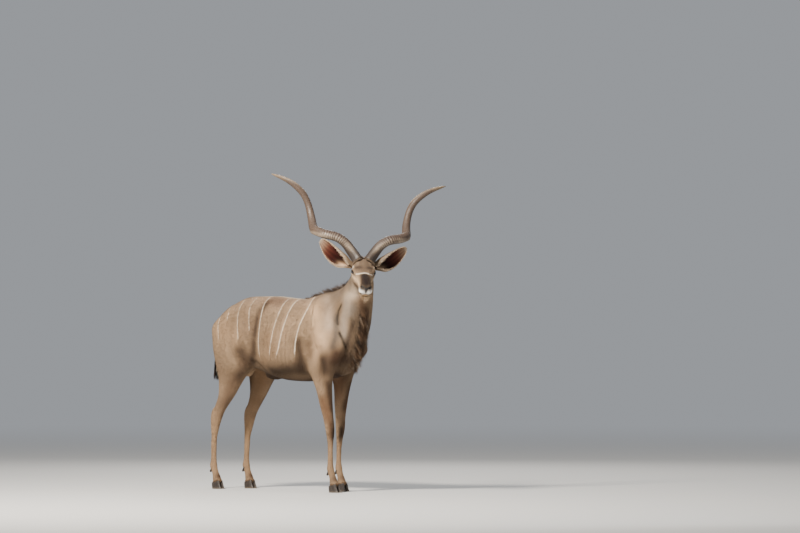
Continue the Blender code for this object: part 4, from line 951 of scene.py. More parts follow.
def stripe_paths(points, normals):
    """All flank stripes of both sides, laid on the skin, with the share each shows."""
    paths = []
    for rows, share in zip(STRIPES, STRIPE_SHARE):
        for side in (1, -1):
            path = spread_path([(x, y * side, z) for x, y, z in rows], 24)
            paths.append((onto_skin(points, normals, path), share))
    return paths


def bar_path(points, normals):
    """The white bar across the face, laid on the skin."""
    mirror = [(forward, -left, up) for forward, left, up in CHEVRON[-2::-1]]
    return onto_skin(points, normals, to_model(spread_path([*CHEVRON, *mirror], 30)))


def horn_collar(side):
    """A ring round the root of one horn, where the skin swells to meet it."""
    turn = np.linspace(0, 2 * math.pi, 13)
    seat = np.array(HORN_SEAT) * (1, side, 1)
    ring = np.stack([0.04 * np.cos(turn), 0.036 * np.sin(turn), -0.004 + 0 * turn], 1)
    return to_model(seat + ring)


def ear_profile(share):
    """Half width, depth, wall and wrap of an ear at each share of its length."""
    knots = np.array([0, 0.12, 0.3, 0.5, 0.7, 0.86, 0.95, 1])
    table = np.stack([EAR_OUTLINE, EAR_DEPTH], 1)
    width, depth = (EAR_WIDTH * steady_spline(knots, table, share)).T
    wall = np.interp(share, [0, 0.1, 0.25, 0.5, 1], [0.02, 0.014, 0.006, 0.004, 0.0025])
    wrap = np.interp(share, [0, 0.15, 0.4, 1], [2.9, 2.3, 1.75, 1.35])
    return width, depth, wall, wrap


def ear_axes(side):
    """Direction of one ear, the way its cup faces, and across both."""
    length, face = (LEVEL @ np.array(way) for way in EARS[side])
    length = unit(length)
    face = square_to(length, face)
    return length, face, np.cross(length, face)


def ear_middle(side, share):
    """The middle line of an ear, straight from its seat and bowed down and back by a sine."""
    length, face, across = ear_axes(side)
    bow = np.sin(share * math.pi)[:, None]
    line = seat_place(EAR_SEAT, side) + length * (EAR_LENGTH * share[:, None])
    return line + square_to(length, -LEVEL[:, 2]) * (EAR_DROOP * bow) - face * (EAR_BOW * bow)


def ear_shares(rings):
    """Where an ear's rings lie, as shares of its length."""
    return np.linspace(0, 1, rings) ** 0.9


def ear_surface(side, rings, around):
    """One ear as a closed tube: a cup whose outer and inner walls are arcs of ellipses.

    A rib at a share of the length has an outer arc of half width w and depth d over
    plus and minus the wrap, and an inner arc less the wall. Three ridges run up the
    inside of the cup, as a cosine of the turn.
    """
    length, face, across = ear_axes(side)
    share = ear_shares(rings)
    width, depth, wall, wrap = ear_profile(share)
    half = around // 2
    turn = np.linspace(-1, 1, half)[None] * wrap[:, None]
    scale = (1.0 / np.sin(np.minimum(wrap, math.pi / 2)))[:, None]
    outer = np.stack([np.sin(turn) * width[:, None] * scale, -np.cos(turn) * depth[:, None]], -1)
    thin_width = np.maximum(width - wall, width * 0.25)[:, None]
    thin_depth = np.maximum(depth - wall * 1.3, depth * 0.2)[:, None]
    ridge = 0.0016 * np.cos(turn * 5.0) * (np.sin(share * math.pi) * (share < 0.8))[:, None]
    inner = np.stack([np.sin(turn) * thin_width * scale, -np.cos(turn) * thin_depth + ridge], -1)
    section = np.concatenate([outer, inner[:, ::-1]], 1)
    rise = section[..., 1:] + (depth * 0.5)[:, None, None]
    points = ear_middle(side, share)[:, None] + across * section[..., :1] + face * rise
    return points.reshape(-1, 3), tube_faces(rings, half * 2)


def legs_inner(points, normals):
    """1 on the inner faces of the legs, 0 elsewhere: where the inner strokes paint darker hair and painted
    shade.
    """
    low = 1 - soft_step(0.86, 0.95, points[:, 2])
    return low * soft_step(0.1, 0.6, -np.sign(points[:, 1]) * normals[:, 1])


def skin_colours_and_painted_light(points, normals):
    """Colour, bareness and stripe distance of the skin at each point.

    The colour starts as fawn and moves towards each stroke's colour by its strength
    times a bell curve of the distance from its path. Bareness is 1 on the nose, down the
    groove of the upper lip and on the rims of the lids. The stripe value is the distance
    from the nearest stripe or from the bar across the face, widened where a stripe is faint.
    """
    tint = np.tile(linear(FAWN), (len(points), 1))
    inner = legs_inner(points, normals)
    # The inner strokes, on the inner faces only: partly darker hair, partly painted shade between the legs.
    darker = [(path, radius * 1.5, *rest, inner) for path, radius, *rest in body_strokes(INNER_PAINT)]
    # Among the body strokes are painted shade and painted highlights where the light falls.
    for path, radius, colour, strength, *where in (
        *body_strokes(BODY_PAINT), *darker, *face_strokes(FACE_PAINT),
    ):
        share = strength * bell(near_path(points, path), radius)
        tint = toward(tint, colour, share * where[0] if where else share)
    bare = np.zeros(len(points))
    for side in (-1, 1):
        depth, radius, almond = lid_place(points, side)[:3]
        near = (depth > 0.0) & (radius < 0.05)
        rim = bell(np.maximum(almond - 1.0, 0), 0.16) * near
        tint = toward(tint, LID_RIM, rim * 0.95)
        tint = toward(tint, LID_PALE, bell(almond - 1.75, 0.22) * near * 0.45)
        bare = np.maximum(bare, rim * (almond < 1.2))
        nostril = [(0.25, 0.033 * side, -0.004), (0.262, 0.022 * side, -0.004), (0.271, 0.0, -0.01)]
        bare = np.maximum(bare, bell(near_path(points, to_model(nostril)), 0.0125, 4))
    groove = to_model([(0.27, 0.0, -0.006), (0.274, 0.0, -0.04)])
    bare = np.maximum(bare, bell(near_path(points, groove), 0.0095, 4))
    lips = near_path(points, to_model(mouth_path()))
    tint = toward(tint, LIP_SEAM, bell(lips, 0.0028) * 0.9)
    stripe = np.full(len(points), NO_STRIPE)
    for path, share in stripe_paths(points, normals):
        gone = np.minimum(np.linalg.norm(points - path[-1], axis=1), 0.06)
        fade = (1 - share) * 0.0032 + 0.0035 * (1 - soft_step(0.0, 0.05, gone))
        stripe = np.minimum(stripe, near_path(points, path) + fade)
    thinner = 0.0012 * (np.abs(to_head(points)[:, 1]) > 0.03)
    bar = near_path(points, bar_path(points, normals))
    return tint, bare, np.minimum(stripe, bar * 0.62 + thinner)


def ear_colours_and_painted_shade(share, turn, inner, side):
    """Colours of an ear: grey brown back, cream rim, and a dark red cup, black towards its root.

    `share` runs from root to tip, `turn` from rim to rim and `inner` is 1 in the cup. The
    cup turns tan towards the tip, and its lower edge has a pale lobe by the root. On the left
    ear the cup is darker still, as painted shade.
    """
    places, colours = zip(*EAR_CUP)
    cup = steady_spline(places, linear(colours), np.clip(share, 0, places[-1]))
    lobe = bell(share - 0.23, 0.11) * soft_step(0.0, 0.5, turn * side)
    cup = toward(cup, EAR_LOBE, lobe * 0.95)
    edge = soft_step(0.55, 0.98, np.abs(turn)) * soft_step(0.15, 0.5, share)
    cup = toward(cup, EAR_EDGE, edge * 0.7)
    streak = 0.5 + 0.5 * np.cos(turn * 17 + np.sin(share * 9))
    # Painted shade: the left ear's cup darker by a third, as that ear lies in shadow.
    cup = cup * (0.8 + 0.4 * streak[:, None]) * (0.68 if side > 0 else 1.0)
    tint = np.tile(linear(EAR_BACK), (len(share), 1))
    tint += (cup - tint) * inner[:, None]
    rim = bell(1 - np.abs(turn), 0.1) * (0.3 + 0.6 * inner) * soft_step(0.05, 0.25, share)
    tint = toward(tint, CREAM, rim)
    return np.clip(toward(tint, CREAM, soft_step(0.9, 1.0, share) * 0.35), 0.003, 1)


def set_attribute(mesh, name, values):
    """Keeps one value a point: a number, a colour under the name tint, or else a vector."""
    values = np.asarray(values, np.float32)
    kind, key = ("FLOAT", "value") if values.ndim == 1 else ("FLOAT_VECTOR", "vector")
    if name == "tint":
        kind, key = "FLOAT_COLOR", "color"
        values = np.c_[values, np.ones(len(values), np.float32)]
    mesh.attributes.new(name, kind, "POINT").data.foreach_set(key, values.ravel())


def get_attribute(mesh, name):
    """The values that set_attribute kept: numbers, or the three numbers of a tint."""
    if name == "tint":
        return read(mesh.attributes[name].data, "color", 4, np.float32)[:, :3].astype(float)
    return read(mesh.attributes[name].data, "value", 1, np.float32)[:, 0].astype(float)


def fused_body(voxel):
    """Trunk, neck, head, legs and tail grown together on a grid, and relaxed."""
    made = closed_piece("skin", joined(flesh_tubes()), WELD)
    remesh = made.modifiers.new("fuse", "REMESH")
    remesh.mode = "VOXEL"
    remesh.voxel_size = voxel
    mesh = apply_modifiers(made).data
    points, edges = read_points(mesh), read_edges(mesh)
    points = relax(points, edges, 3, 1.0)
    write_points(mesh, relax(points, edges, 9, 1.0 - head_share(points)))
    return made


def build_skin(settings):
    """The whole skin: lofts fused by a voxel remesh, relaxed, modelled and refined.

    The body is relaxed more than the head. Faces of the head and along the stripes are
    halved once before the modelling, those round eyes and muzzle again before the fine
    folds, and each point is drawn in along its normal by the depth of the coat there.
    """
    made = fused_body(settings.skin_voxel)
    mesh = made.data
    stripes = [path for path, share in stripe_paths(read_points(mesh), read_normals(mesh))]

    def fine(places):
        chosen = head_share(places) > 0.3
        for path in stripes:
            chosen |= near_path(places, path) < 0.011
        return chosen

    subdivide_where(mesh, fine)
    write_points(mesh, relax(read_points(mesh), read_edges(mesh), 4, 1.0))
    model_by_strokes(mesh, body_strokes(BODY_STROKES))
    model_by_strokes(mesh, face_strokes(FACE_STROKES))
    model_by_strokes(mesh, [(horn_collar(side), 0.013, 0.007) for side in (-1, 1)])
    points, normals = read_points(mesh), read_normals(mesh)
    legs = 1 - soft_step(0.5, 0.85, points[:, 2])
    depth = settings.coat_depth * (1 - 0.65 * head_share(points)) * (1 - 0.5 * legs)
    write_points(mesh, points - normals * depth[:, None])
    eyes = [eye_centre(side) for side in (-1, 1)]
    soft = eyes + list(to_model(MUZZLE))
    subdivide_where(mesh, close_to(soft, 0.042))
    points = read_points(mesh)
    near = np.zeros(len(points))
    for centre in soft:
        near = np.maximum(near, 1 - soft_step(0.03, 0.045, np.linalg.norm(points - centre, axis=1)))
    write_points(mesh, relax(points, read_edges(mesh), 4, near))
    subdivide_where(mesh, close_to(eyes, 0.03))
    subdivide_where(mesh, close_to(to_model(NOSTRILS), 0.024))
    model_by_strokes(mesh, face_strokes(FACE_FOLDS))
    lips = onto_skin(read_points(mesh), read_normals(mesh), to_model(mouth_path()))
    model_by_strokes(mesh, [(lips, 0.0026, -0.0048)])
    model_by_strokes(mesh, [(to_model(path), *rest) for path, *rest in MIDDLE_FOLDS])
    model_lids(mesh)
    return made


def add_ears(made, settings):
    """Joins both ears to the skin and keeps where each point lies on them.

    `ear` is 0 off the ears, 1 or 2 on the left or right one, plus 0.5 inside its cup.
    """
    points = read_points(made.data)
    parts = [(points, read_triangles(made.data).tolist())]
    values = [(*skin_colours_and_painted_light(points, read_normals(made.data)), np.zeros(len(points)))]
    rings, half = settings.ear_rings, EAR_AROUND // 2
    share = np.repeat(ear_shares(rings), EAR_AROUND)
    across = np.linspace(-1, 1, half)
    turn = np.tile(np.r_[across, across[::-1]], rings)
    inner = np.tile(np.r_[np.zeros(half), np.ones(half)], rings)
    bare = inner * 0.5 * (1 - np.abs(turn) > 0.1)
    for number, side in EAR_NUMBERS:
        parts.append(ear_surface(side, rings, EAR_AROUND))
        tint = ear_colours_and_painted_shade(share, turn, inner, side)
        values.append((tint, bare, np.full(len(share), NO_STRIPE), number + 0.5 * inner))
    bpy.data.objects.remove(made)
    columns = dict(zip(SKIN_VALUES, map(np.concatenate, zip(*values))))
    return closed_piece("skin_coat", joined(parts), triangles=True, **columns)


def spindle_faces(rings):
    """Triangles of one hair: three sides between rings of three points, a tip and a root cap."""
    faces = []
    for ring in range(rings - 2):
        for side in range(3):
            a, b = ring * 3 + side, ring * 3 + (side + 1) % 3
            faces += [(a, b, b + 3), (a, b + 3, a + 3)]
    last, tip = (rings - 2) * 3, (rings - 1) * 3
    faces += [(last, last + 1, tip), (last + 1, last + 2, tip), (last + 2, last, tip)]
    faces.append((0, 2, 1))
    return np.array(faces, np.int32)


def spindles(name, line, across, out, width, thick, roots_uv, tint, stripe=NO_STRIPE):
    """One mesh of many tapering hairs or tufts, each a three sided spindle.

    `line` holds each hair's middle points, `across` and `out` its flat axes and `width`
    its width at each ring. A ring is the middle plus and minus half the width across,
    and the middle plus `thick` times the width outwards. On the OFBake map each hair is
    a patch of 3 thousandths at its root's place on the unwrapped skin.
    """
    count, rings = line.shape[:2]
    body = line[:, :-1]
    reach = across[:, None] * (width[:, :-1, None] / 2)
    crest = body + out[:, None] * (width[:, :-1, None] * thick)
    ring = np.stack([body - reach, body + reach, crest], 2).reshape(count, -1, 3)
    points = np.concatenate([ring, line[:, -1:]], 1)
    each = points.shape[1]
    faces = (spindle_faces(rings)[None] + (np.arange(count) * each)[:, None, None]).reshape(-1, 3)
    mesh = bpy.data.meshes.new(name)
    mesh.vertices.add(count * each)
    mesh.vertices.foreach_set("co", (points.reshape(-1, 3) - ORIGIN).ravel())
    mesh.loops.add(faces.size)
    mesh.loops.foreach_set("vertex_index", faces.ravel())
    mesh.polygons.add(len(faces))
    mesh.polygons.foreach_set("loop_start", np.arange(0, faces.size, 3, dtype=np.int32))
    mesh.polygons.foreach_set("use_smooth", np.ones(len(faces), bool))
    mesh.update(calc_edges=True)
    mesh.validate()
    rise = np.repeat(np.linspace(-0.5, 0.4, rings - 1), 3)
    patch = np.stack([np.tile([-0.5, 0.5, 0.0], rings - 1), rise], 1)
    patch = np.concatenate([patch, [[0.0, 0.5]]]) * 0.003
    flat = (roots_uv[:, None] * 0.97 + 0.015 + patch[None]).reshape(-1, 2)
    layer = mesh.uv_layers.new(name="OFBake")
    layer.data.foreach_set("uv", flat[faces.ravel()].astype(np.float32).ravel())
    set_attribute(mesh, "tint", np.repeat(tint, each, axis=0))
    set_attribute(mesh, "stripe", np.repeat(np.broadcast_to(stripe, count), each))
    along = np.r_[np.repeat(np.linspace(0, 0.9, rings - 1), 3), 1.0]
    set_attribute(mesh, "along", np.tile(along, count))
    made = bpy.data.objects.new(name, mesh)
    bpy.context.scene.collection.objects.link(made)
    return made


def bent_lines(root, way, length, step, out, rise):
    """Points of hairs: from each root by the steps of its length along, and by `rise` outwards."""
    return root[:, None] + way[:, None] * (length[:, None] * step)[..., None] + out[:, None] * rise[..., None]


def combed(flow, normal, draws):
    """The flow, each swung by about 9 degrees in the skin's plane, and the direction across it."""
    swing = draws.normal(0, 0.16, len(flow))[:, None]
    flow = unit(flow * np.cos(swing) + np.cross(normal, flow) * np.sin(swing))
    return flow, np.cross(normal, flow)


def region_shares(points, ear):
    """How much each point belongs to head, neck, legs and trunk, the four adding to one."""
    x, y, z = points.T
    head = np.where(ear > 0, 1.0, head_share(points))
    neck = soft_step(-0.05, 0.06, (x - 1.2) * 0.9 + (z - 1.1) * 0.43)
    neck = neck * (near_path(points, NECK_AXIS) < 0.4) * (1 - head)
    belly = soft_step(0.5, 0.62, x) * (1 - soft_step(0.98, 1.08, x))
    legs = (1 - soft_step(0.72, 0.95, z)) * (x < 1.42)
    legs = legs * (1 - belly * soft_step(0.7, 0.76, z)) * (1 - head) * (1 - neck)
    return head, neck, legs, 1 - head - neck - legs


def lie_of_coat(points, normals, ear):
    """The way the hair lies: a mix of fixed directions by region, pressed flat on the skin.

    Trunk hair runs back and down, more steeply on rump and shoulder. Neck hair runs from
    the head to the chest, leg and tail hair down, face hair from the nose to the poll,
    and ear hair from root to tip.
    """
    head, neck, legs, trunk = region_shares(points, ear)
    x = points[:, 0]
    steep = 0.35 + 1.6 * (1 - soft_step(0.1, 0.42, x)) + 1.2 * soft_step(0.92, 1.12, x)
    top = soft_step(0.75, 1.0, normals[:, 2])
    back = np.stack([-np.ones(len(x)), 0 * x, -steep * (1 - top)], 1)
    down_neck = np.tile([-0.42, 0.12, -0.9], (len(x), 1))
    down = np.tile([-0.12, 0.0, -1.0], (len(x), 1))
    face = np.tile(HEAD_TURN @ np.array([-1.0, 0.0, -0.12]), (len(x), 1))
    turned = soft_step(-0.02, 0.2, -to_head(points)[:, 0])[:, None]
    front = face * (1 - turned) + down_neck * turned
    flow = unit(back) * trunk[:, None] + front * (head + neck)[:, None] + down * legs[:, None]
    flow = np.where((x < 0.03)[:, None], [[-0.1, 0.0, -1.0]], flow)
    for number, side in EAR_NUMBERS:
        flow = np.where((np.floor(ear) == number)[:, None], ear_axes(side)[0], flow)
    return square_to(normals, flow)


def round_share(rise, reach):
    """The angle of (reach, rise) round a tube's middle line, as a share of a turn."""
    return np.arctan2(rise, reach) / (2 * math.pi) + 0.5


def unwrap(points, ear):
    """Place of each point on a flat unwrap of the skin's own tubes, from 0 to 1.

    Trunk, neck, head, legs and ears have a strip each, with the way along the tube one
    way and the angle round its middle line the other.
    """
    x, y, z = points.T
    head, neck, legs = region_shares(points, ear)[:3]
    forward, left, up = to_head(points).T
    place = np.stack([0.4 * np.clip(x / 1.42, 0, 1), round_share(z - 1.1, y)], 1)
    run = np.clip(((x - 1.15) * 0.62 + (z - 1.0) * 0.78) / 0.8, 0, 1)
    sideways = (x - 1.3) * -0.78 + (z - 1.2) * 0.62
    on_neck = np.stack([0.41 + 0.17 * run, round_share(y + 0.04, sideways)], 1)
    fore = x > MID_BODY
    middle = np.where(fore, 1.22, 0.13) + np.where(y > 0, np.where(fore, -0.1, 0.06), 0.0)
    strip = (fore * 2 + (y > 0) + round_share(np.abs(y) - 0.12, x - middle)) / 4
    on_leg = np.stack([0.59 + 0.2 * np.clip(z / 0.95, 0, 1), strip], 1)
    ahead = np.clip((forward + 0.14) / 0.42, 0, 1)
    on_head = np.stack([0.8 + 0.12 * ahead, round_share(left, up + 0.03)], 1)
    for share, other in ((neck, on_neck), (legs, on_leg), (head, on_head)):
        place = np.where((share > 0.5)[:, None], other, place)
    for number, side in EAR_NUMBERS:
        length, face, across = ear_axes(side)
        off = points - seat_place(EAR_SEAT, side)
        wall = (ear - number > 0.25) * 0.5
        up = np.clip(off @ length / EAR_LENGTH, 0, 1)
        wide = np.clip(off @ across / 0.16 + 0.5, 0, 1)
        on_ear = np.stack([0.93 + 0.06 * wide, (number - 1) * 0.5 + (wall + up * 0.5) * 0.48], 1)
        place = np.where((np.floor(ear) == number)[:, None], on_ear, place)
    return np.clip(place, 0.0, 1.0)


def scatter(skin, weight_of, count, draws):
    """Roots spread over the skin, with the skin's colours at each.

    Triangles are drawn by area times weight, and a root lies at random in its triangle.
    Of three times as many draws, those that share a cell with an earlier one are dropped
    first, which spaces the roots evenly.
    """
    mesh = skin.data
    points, normals = read_points(mesh), read_normals(mesh)
    triangles = read_triangles(mesh)
    columns = {name: get_attribute(mesh, name) for name in SKIN_VALUES}
    corner = points[triangles]
    area = np.linalg.norm(np.cross(corner[:, 1] - corner[:, 0], corner[:, 2] - corner[:, 0]), axis=1)
    middle = corner.mean(1)
    weight = weight_of(middle, columns["ear"][triangles[:, 0]])
    weight = weight * (1 - columns["bare"][triangles].mean(1) > 0.55)
    chance = np.cumsum(area * weight)
    chosen = np.searchsorted(chance, draws.uniform(0, chance[-1], count * 3))
    chosen = np.minimum(chosen, len(triangles) - 1)
    mix = draws.uniform(0, 1, (len(chosen), 2))
    mix = np.where(mix.sum(1)[:, None] > 1, 1 - mix, mix)
    share = np.stack([1 - mix.sum(1), mix[:, 0], mix[:, 1]], 1)
    roots = (corner[chosen] * share[..., None]).sum(1)
    pitch = math.sqrt((area * weight).sum() / 2 / count) * 0.9
    cells = np.floor(roots / pitch).astype(np.int64)
    first = np.unique(cells @ CELL_KEYS, return_index=True)[1]
    rest = np.setdiff1d(np.arange(len(roots)), first)
    order = np.concatenate([draws.permutation(first), draws.permutation(rest)])[:count]
    normal = unit((normals[triangles[chosen]] * share[..., None]).sum(1))[order]
    values = {}
    for name, column in columns.items():
        picked = column[triangles[chosen]]
        mixed = (picked * (share[..., None] if picked.ndim == 3 else share)).sum(1)
        values[name] = mixed[order]
    soft = unit(relax(normals, read_edges(mesh), 14, 1.0))[triangles[chosen[order]]]
    values["bend"] = slope_of(corner[chosen[order]], soft)
    return roots[order], normal, values


def slope_of(corner, normals):
    """How normals change per metre over each triangle, as a matrix.

    The two edges from the first corner have dual vectors in the triangle's plane, and
    the matrix is the sum of each edge's change of normal times its dual.
    """
    first, second = corner[:, 1] - corner[:, 0], corner[:, 2] - corner[:, 0]
    plane = np.cross(first, second)
    size = np.maximum((plane ** 2).sum(1), 1e-16)[:, None]
    dual_first, dual_second = np.cross(second, plane) / size, np.cross(plane, first) / size
    change = (normals[:, 1] - normals[:, 0])[..., None] * dual_first[:, None]
    return change + (normals[:, 2] - normals[:, 0])[..., None] * dual_second[:, None]


def hug(values, flow, length):
    """How far the skin falls away under a tip: half its curvature along the flow times length squared."""
    curve = np.einsum("ni,nij,nj->n", flow, values["bend"], flow)
    return -0.5 * np.clip(curve, -28, 28) * length ** 2


def tuft_sizes(points, ear):
    """Length, width and lift of the tufts by region: smallest on face and feet."""
    head, neck, legs, trunk = region_shares(points, ear)
    ahead = to_head(points)[:, 0]
    muzzle = soft_step(0.06, 0.2, ahead) * head
    feet = 1 - soft_step(0.05, 0.4, points[:, 2])
    away = soft_step(0.0, 0.36, -ahead)
    front = head + neck
    length = 0.02 * trunk + (0.0105 + 0.0135 * away) * front + 0.014 * legs
    length = length * (1 - 0.45 * muzzle) * (1 - 0.35 * feet * legs)
    length = np.where(ear > 0, 0.0075, length)
    width = 0.0024 * trunk + (0.0014 + 0.001 * away) * front + 0.0018 * legs
    width = width * (1 - 0.25 * muzzle)
    lift = 0.06 * trunk + 0.068 * front + 0.046 * legs
    return length, width, lift


def short_tufts(skin, name, weight_of, count, draws):
    """A coat piece of short tufts that lie along the skin and rise a little to their tips."""
    roots, normal, values = scatter(skin, weight_of, count, draws)
    ear = values["ear"]
    flow, across = combed(lie_of_coat(roots, normal, ear), normal, draws)
    length, width, lift = tuft_sizes(roots, ear)
    near_stripe = 1 - 0.45 * (1 - soft_step(0.006, 0.02, values["stripe"]))
    length = length * near_stripe * draws.uniform(0.7, 1.25, len(roots))
    width = width * draws.uniform(0.7, 1.2, len(roots))
    step = np.array([-0.05, 1.0])
    rise = (length * lift)[:, None] * (-0.25, 1.0) + hug(values, flow, length)[:, None] * step ** 2
    line = bent_lines(roots, flow, length, step, normal, rise)
    shade = 1 + draws.normal(0, 0.06, len(roots))[:, None]
    warm = 1 + draws.normal(0, 0.03, len(roots))[:, None] * np.array([[1.0, 0.2, -1.0]])
    tint = values["tint"] * shade * warm
    widths = width[:, None] * (1.0, 0.05)
    return spindles(name, line, across, normal, widths, 0.34, unwrap(roots, ear), tint, values["stripe"])


def tuck_feet(mesh):
    """Narrows each foot below the coronet, so that the hoof stands out round it."""
    points = read_points(mesh)
    for middle, y in foot_places():
        off = points[:, :2] - (middle - 0.004, y)
        near = np.linalg.norm(off, axis=1) < 0.09
        under = coronet(points[:, 0], middle) - points[:, 2]
        narrow = 1 - 0.34 * soft_step(-0.002, 0.012, under) * near
        points[:, :2] += off * (narrow - 1)[:, None]
        points[:, 2] += np.maximum(0, 0.03 - points[:, 2]) * near
    write_points(mesh, points)


def coronet(x, middle):
    """Height of the top of the hoof: a plane that rises towards the toe."""
    return CORONET + CORONET_SLOPE * (x - middle)


def foot_places():
    """X and y of the middle of each foot: front right, front left, rear right, rear left."""
    return [(x + leg_shift(x, side, 0.05), y * side) for x, y in (FORE_FOOT, HIND_FOOT) for side in (-1, 1)]


def claw_surface(middle, y, side, rings, around):
    """One claw: ellipse like rings that shrink and lean back from the sole to the coronet.

    The half length is 44 mm less 22 percent of the rise to the power 0.9, the width
    narrows towards the toe by 30 percent, and the inner side is flatter. The lowest
    ring is drawn in by 2 mm and the sole is closed flat.
    """
    rise = np.r_[0.0, 0.02, np.linspace(0.06, 1.0, rings - 3), 1.0]
    angle = np.linspace(0, 2 * math.pi, around, endpoint=False)[None]
    length = CLAW_LENGTH / 2 * (1.0 - 0.22 * rise ** 0.9)
    width = CLAW_WIDTH / 2 * (1.0 - 0.07 * rise)
    length[0] -= 0.002
    width[0] -= 0.0015
    length[-1] *= 0.86
    width[-1] *= 0.82
    back = 0.014 * rise + 0.002 * np.sin(rise * math.pi)
    reach, spread = np.cos(angle), np.sin(angle)
    growth = 0.0004 * np.sin(rise * 46.0)[:, None]
    x = middle - back[:, None] + (length[:, None] + growth) * reach
    flat = np.where(spread * side < 0, 0.78, 1.0)
    off = spread * (width[:, None] + growth) * (1 - 0.3 * reach) * flat
    z = (coronet(x, middle) - 0.0003) * rise[:, None]
    points = np.stack([x, y + off + 0 * x, z + 0 * x], -1)
    return points.reshape(-1, 3), tube_faces(rings, around)


def dewclaw_surface(top, low, radius, rings, around):
    """A blunt claw: circles along a line from `top` to `low` whose radius ends in a quarter round."""
    share = np.linspace(0, 1, rings)
    blunt = np.clip(1 - np.clip((share - 0.72) / 0.28, 0, 1) ** 2, 0.02, 1)
    size = radius * (1 - 0.3 * share) * np.sqrt(blunt)
    top, low = np.array(top), np.array(low)
    way = unit(low - top)
    first = unit(np.cross(way, (0.0, 1.0, 0.0)))
    angle = np.linspace(0, 2 * math.pi, around, endpoint=False)[:, None]
    ring = np.cos(angle) * first * 1.05 + np.sin(angle) * np.cross(way, first)
    points = (top + (low - top) * share[:, None])[:, None] + ring[None] * size[:, None, None]
    return points.reshape(-1, 3), tube_faces(rings, around)


def horn_course(side, share):
    """Middle line of a horn from its seat in level axes, two axes across it, radius and keel.

    The line is the share of the reach, plus an arm of the coil's radius that turns square to it.
    """
    table = np.array(HORN)
    turn, coil, radius, keel = steady_spline(table[:, 0], table[:, 1:], share).T
    turn = np.radians(turn)[:, None]
    reach = np.array(HORN_REACH[side]) * (1, side, 1)
    axis = unit(reach)
    front = square_to(axis, np.array((1.0, 0.0, 0.0)))
    above = np.cross(axis, front)
    above *= np.sign(above[2])
    line = reach * share[:, None] + (above * np.cos(turn) + front * np.sin(turn)) * coil[:, None]
    course = unit(np.gradient(line, axis=0))
    first = square_to(course, above)
    second = np.cross(course, first)
    second *= np.sign((second @ front).mean())
    return line, first, second, radius[:, None], np.radians(keel)[:, None]


def horn_surface(side, rings, around):
    """One horn round its course, with a winding keel, and the values that its finish reads.

    Round the middle line the radius is the table's radius times 0.97 plus 0.16 times a
    bell curve of the angle from the keel, plus rings of growth up to the second bend:
    a sharpened cosine of the way along with a spacing that shortens and wavers.
    """
    share = np.linspace(0, 1, rings) ** 0.94
    line, first, second, radius, keel = horn_course(side, share)
    angle = np.linspace(0, 2 * math.pi, around, endpoint=False)[None]
    off = np.angle(np.exp(1j * (angle - keel)))
    run, share = way_along(line)[:, None], share[:, None]
    ridged = np.clip((0.58 - share) / 0.26, 0, 1) * np.clip(run / 0.12, 0.15, 1)
    phase = run / 0.0165 * 2 * math.pi + 1.3 * np.sin(run * 31.0) + 0.7 * np.sin(run * 67.0 + 1.0)
    crest = np.cos(phase + 0.35 * np.cos(off) + 0.25 * np.sin(2 * angle))
    strong = 0.55 + 0.3 * np.sin(run * 23.0 + 2.0) + 0.25 * np.cos(angle * 2 + run * 14)
    growth = np.sign(crest) * np.abs(crest) ** 0.8 * ridged * strong
    fine = 0.00035 * np.cos(phase * 3.1 + 2.0 * angle) * np.clip((0.9 - share) / 0.3, 0, 1)
    flute = 0.0004 * np.cos(angle * 11 + 1.3 * np.sin(run * 9.0)) * np.clip(1.1 - share, 0, 1)
    size = radius * (0.97 + 0.16 * bell(off, 0.46)) + 0.0016 * growth + (fine + flute) * (radius / 0.035)
    points = line[:, None] + first[:, None] * (np.cos(angle) * size)[..., None]
    points = points + second[:, None] * (np.sin(angle) * size)[..., None]
    points = np.concatenate([points[:1] - np.array((0, 0, HORN_ROOT)), points]).reshape(-1, 3)
    along = run / run[-1] + 0 * angle
    grain = [np.cos(angle) + 0 * along, np.sin(angle) + 0 * along, along * 2.2]
    columns = {
        "valley": np.clip(-growth, 0, 1), "ridge": bell(off, 0.75),
        "along": along, "grain": np.stack(grain, -1),
    }
    for name, values in columns.items():
        columns[name] = np.concatenate([values[:1], values]).reshape((-1, *values.shape[2:]))
    return points @ LEVEL.T + seat_place(HORN_SEAT, side), tube_faces(rings + 1, around), columns


def eye_surface(side, rings, around):
    """An eyeball: rings of a sphere round the gaze, with the cornea raised by a bell curve.

    The radius is that of the ball plus 1.1 mm times a bell curve of the angle from the
    gaze over half a radian. The third value holds each point's way from the middle.
    """
    polar = np.linspace(0.01, math.pi - 0.01, rings)[:, None]
    turn = np.linspace(0, 2 * math.pi, around, endpoint=False)[None]
    radius = EYE_RADIUS + 0.0011 * bell(polar, 0.5, 4)
    look = [np.sin(polar) * np.cos(turn), np.sin(polar) * np.sin(turn), np.cos(polar) + 0 * turn]
    look = np.stack(look, -1).reshape(-1, 3)
    gaze, corner, across = eye_axes(side)
    points = eye_centre(side) + look @ np.array([corner, across, gaze]) * np.repeat(radius, around)[:, None]
    return points, tube_faces(rings, around), look


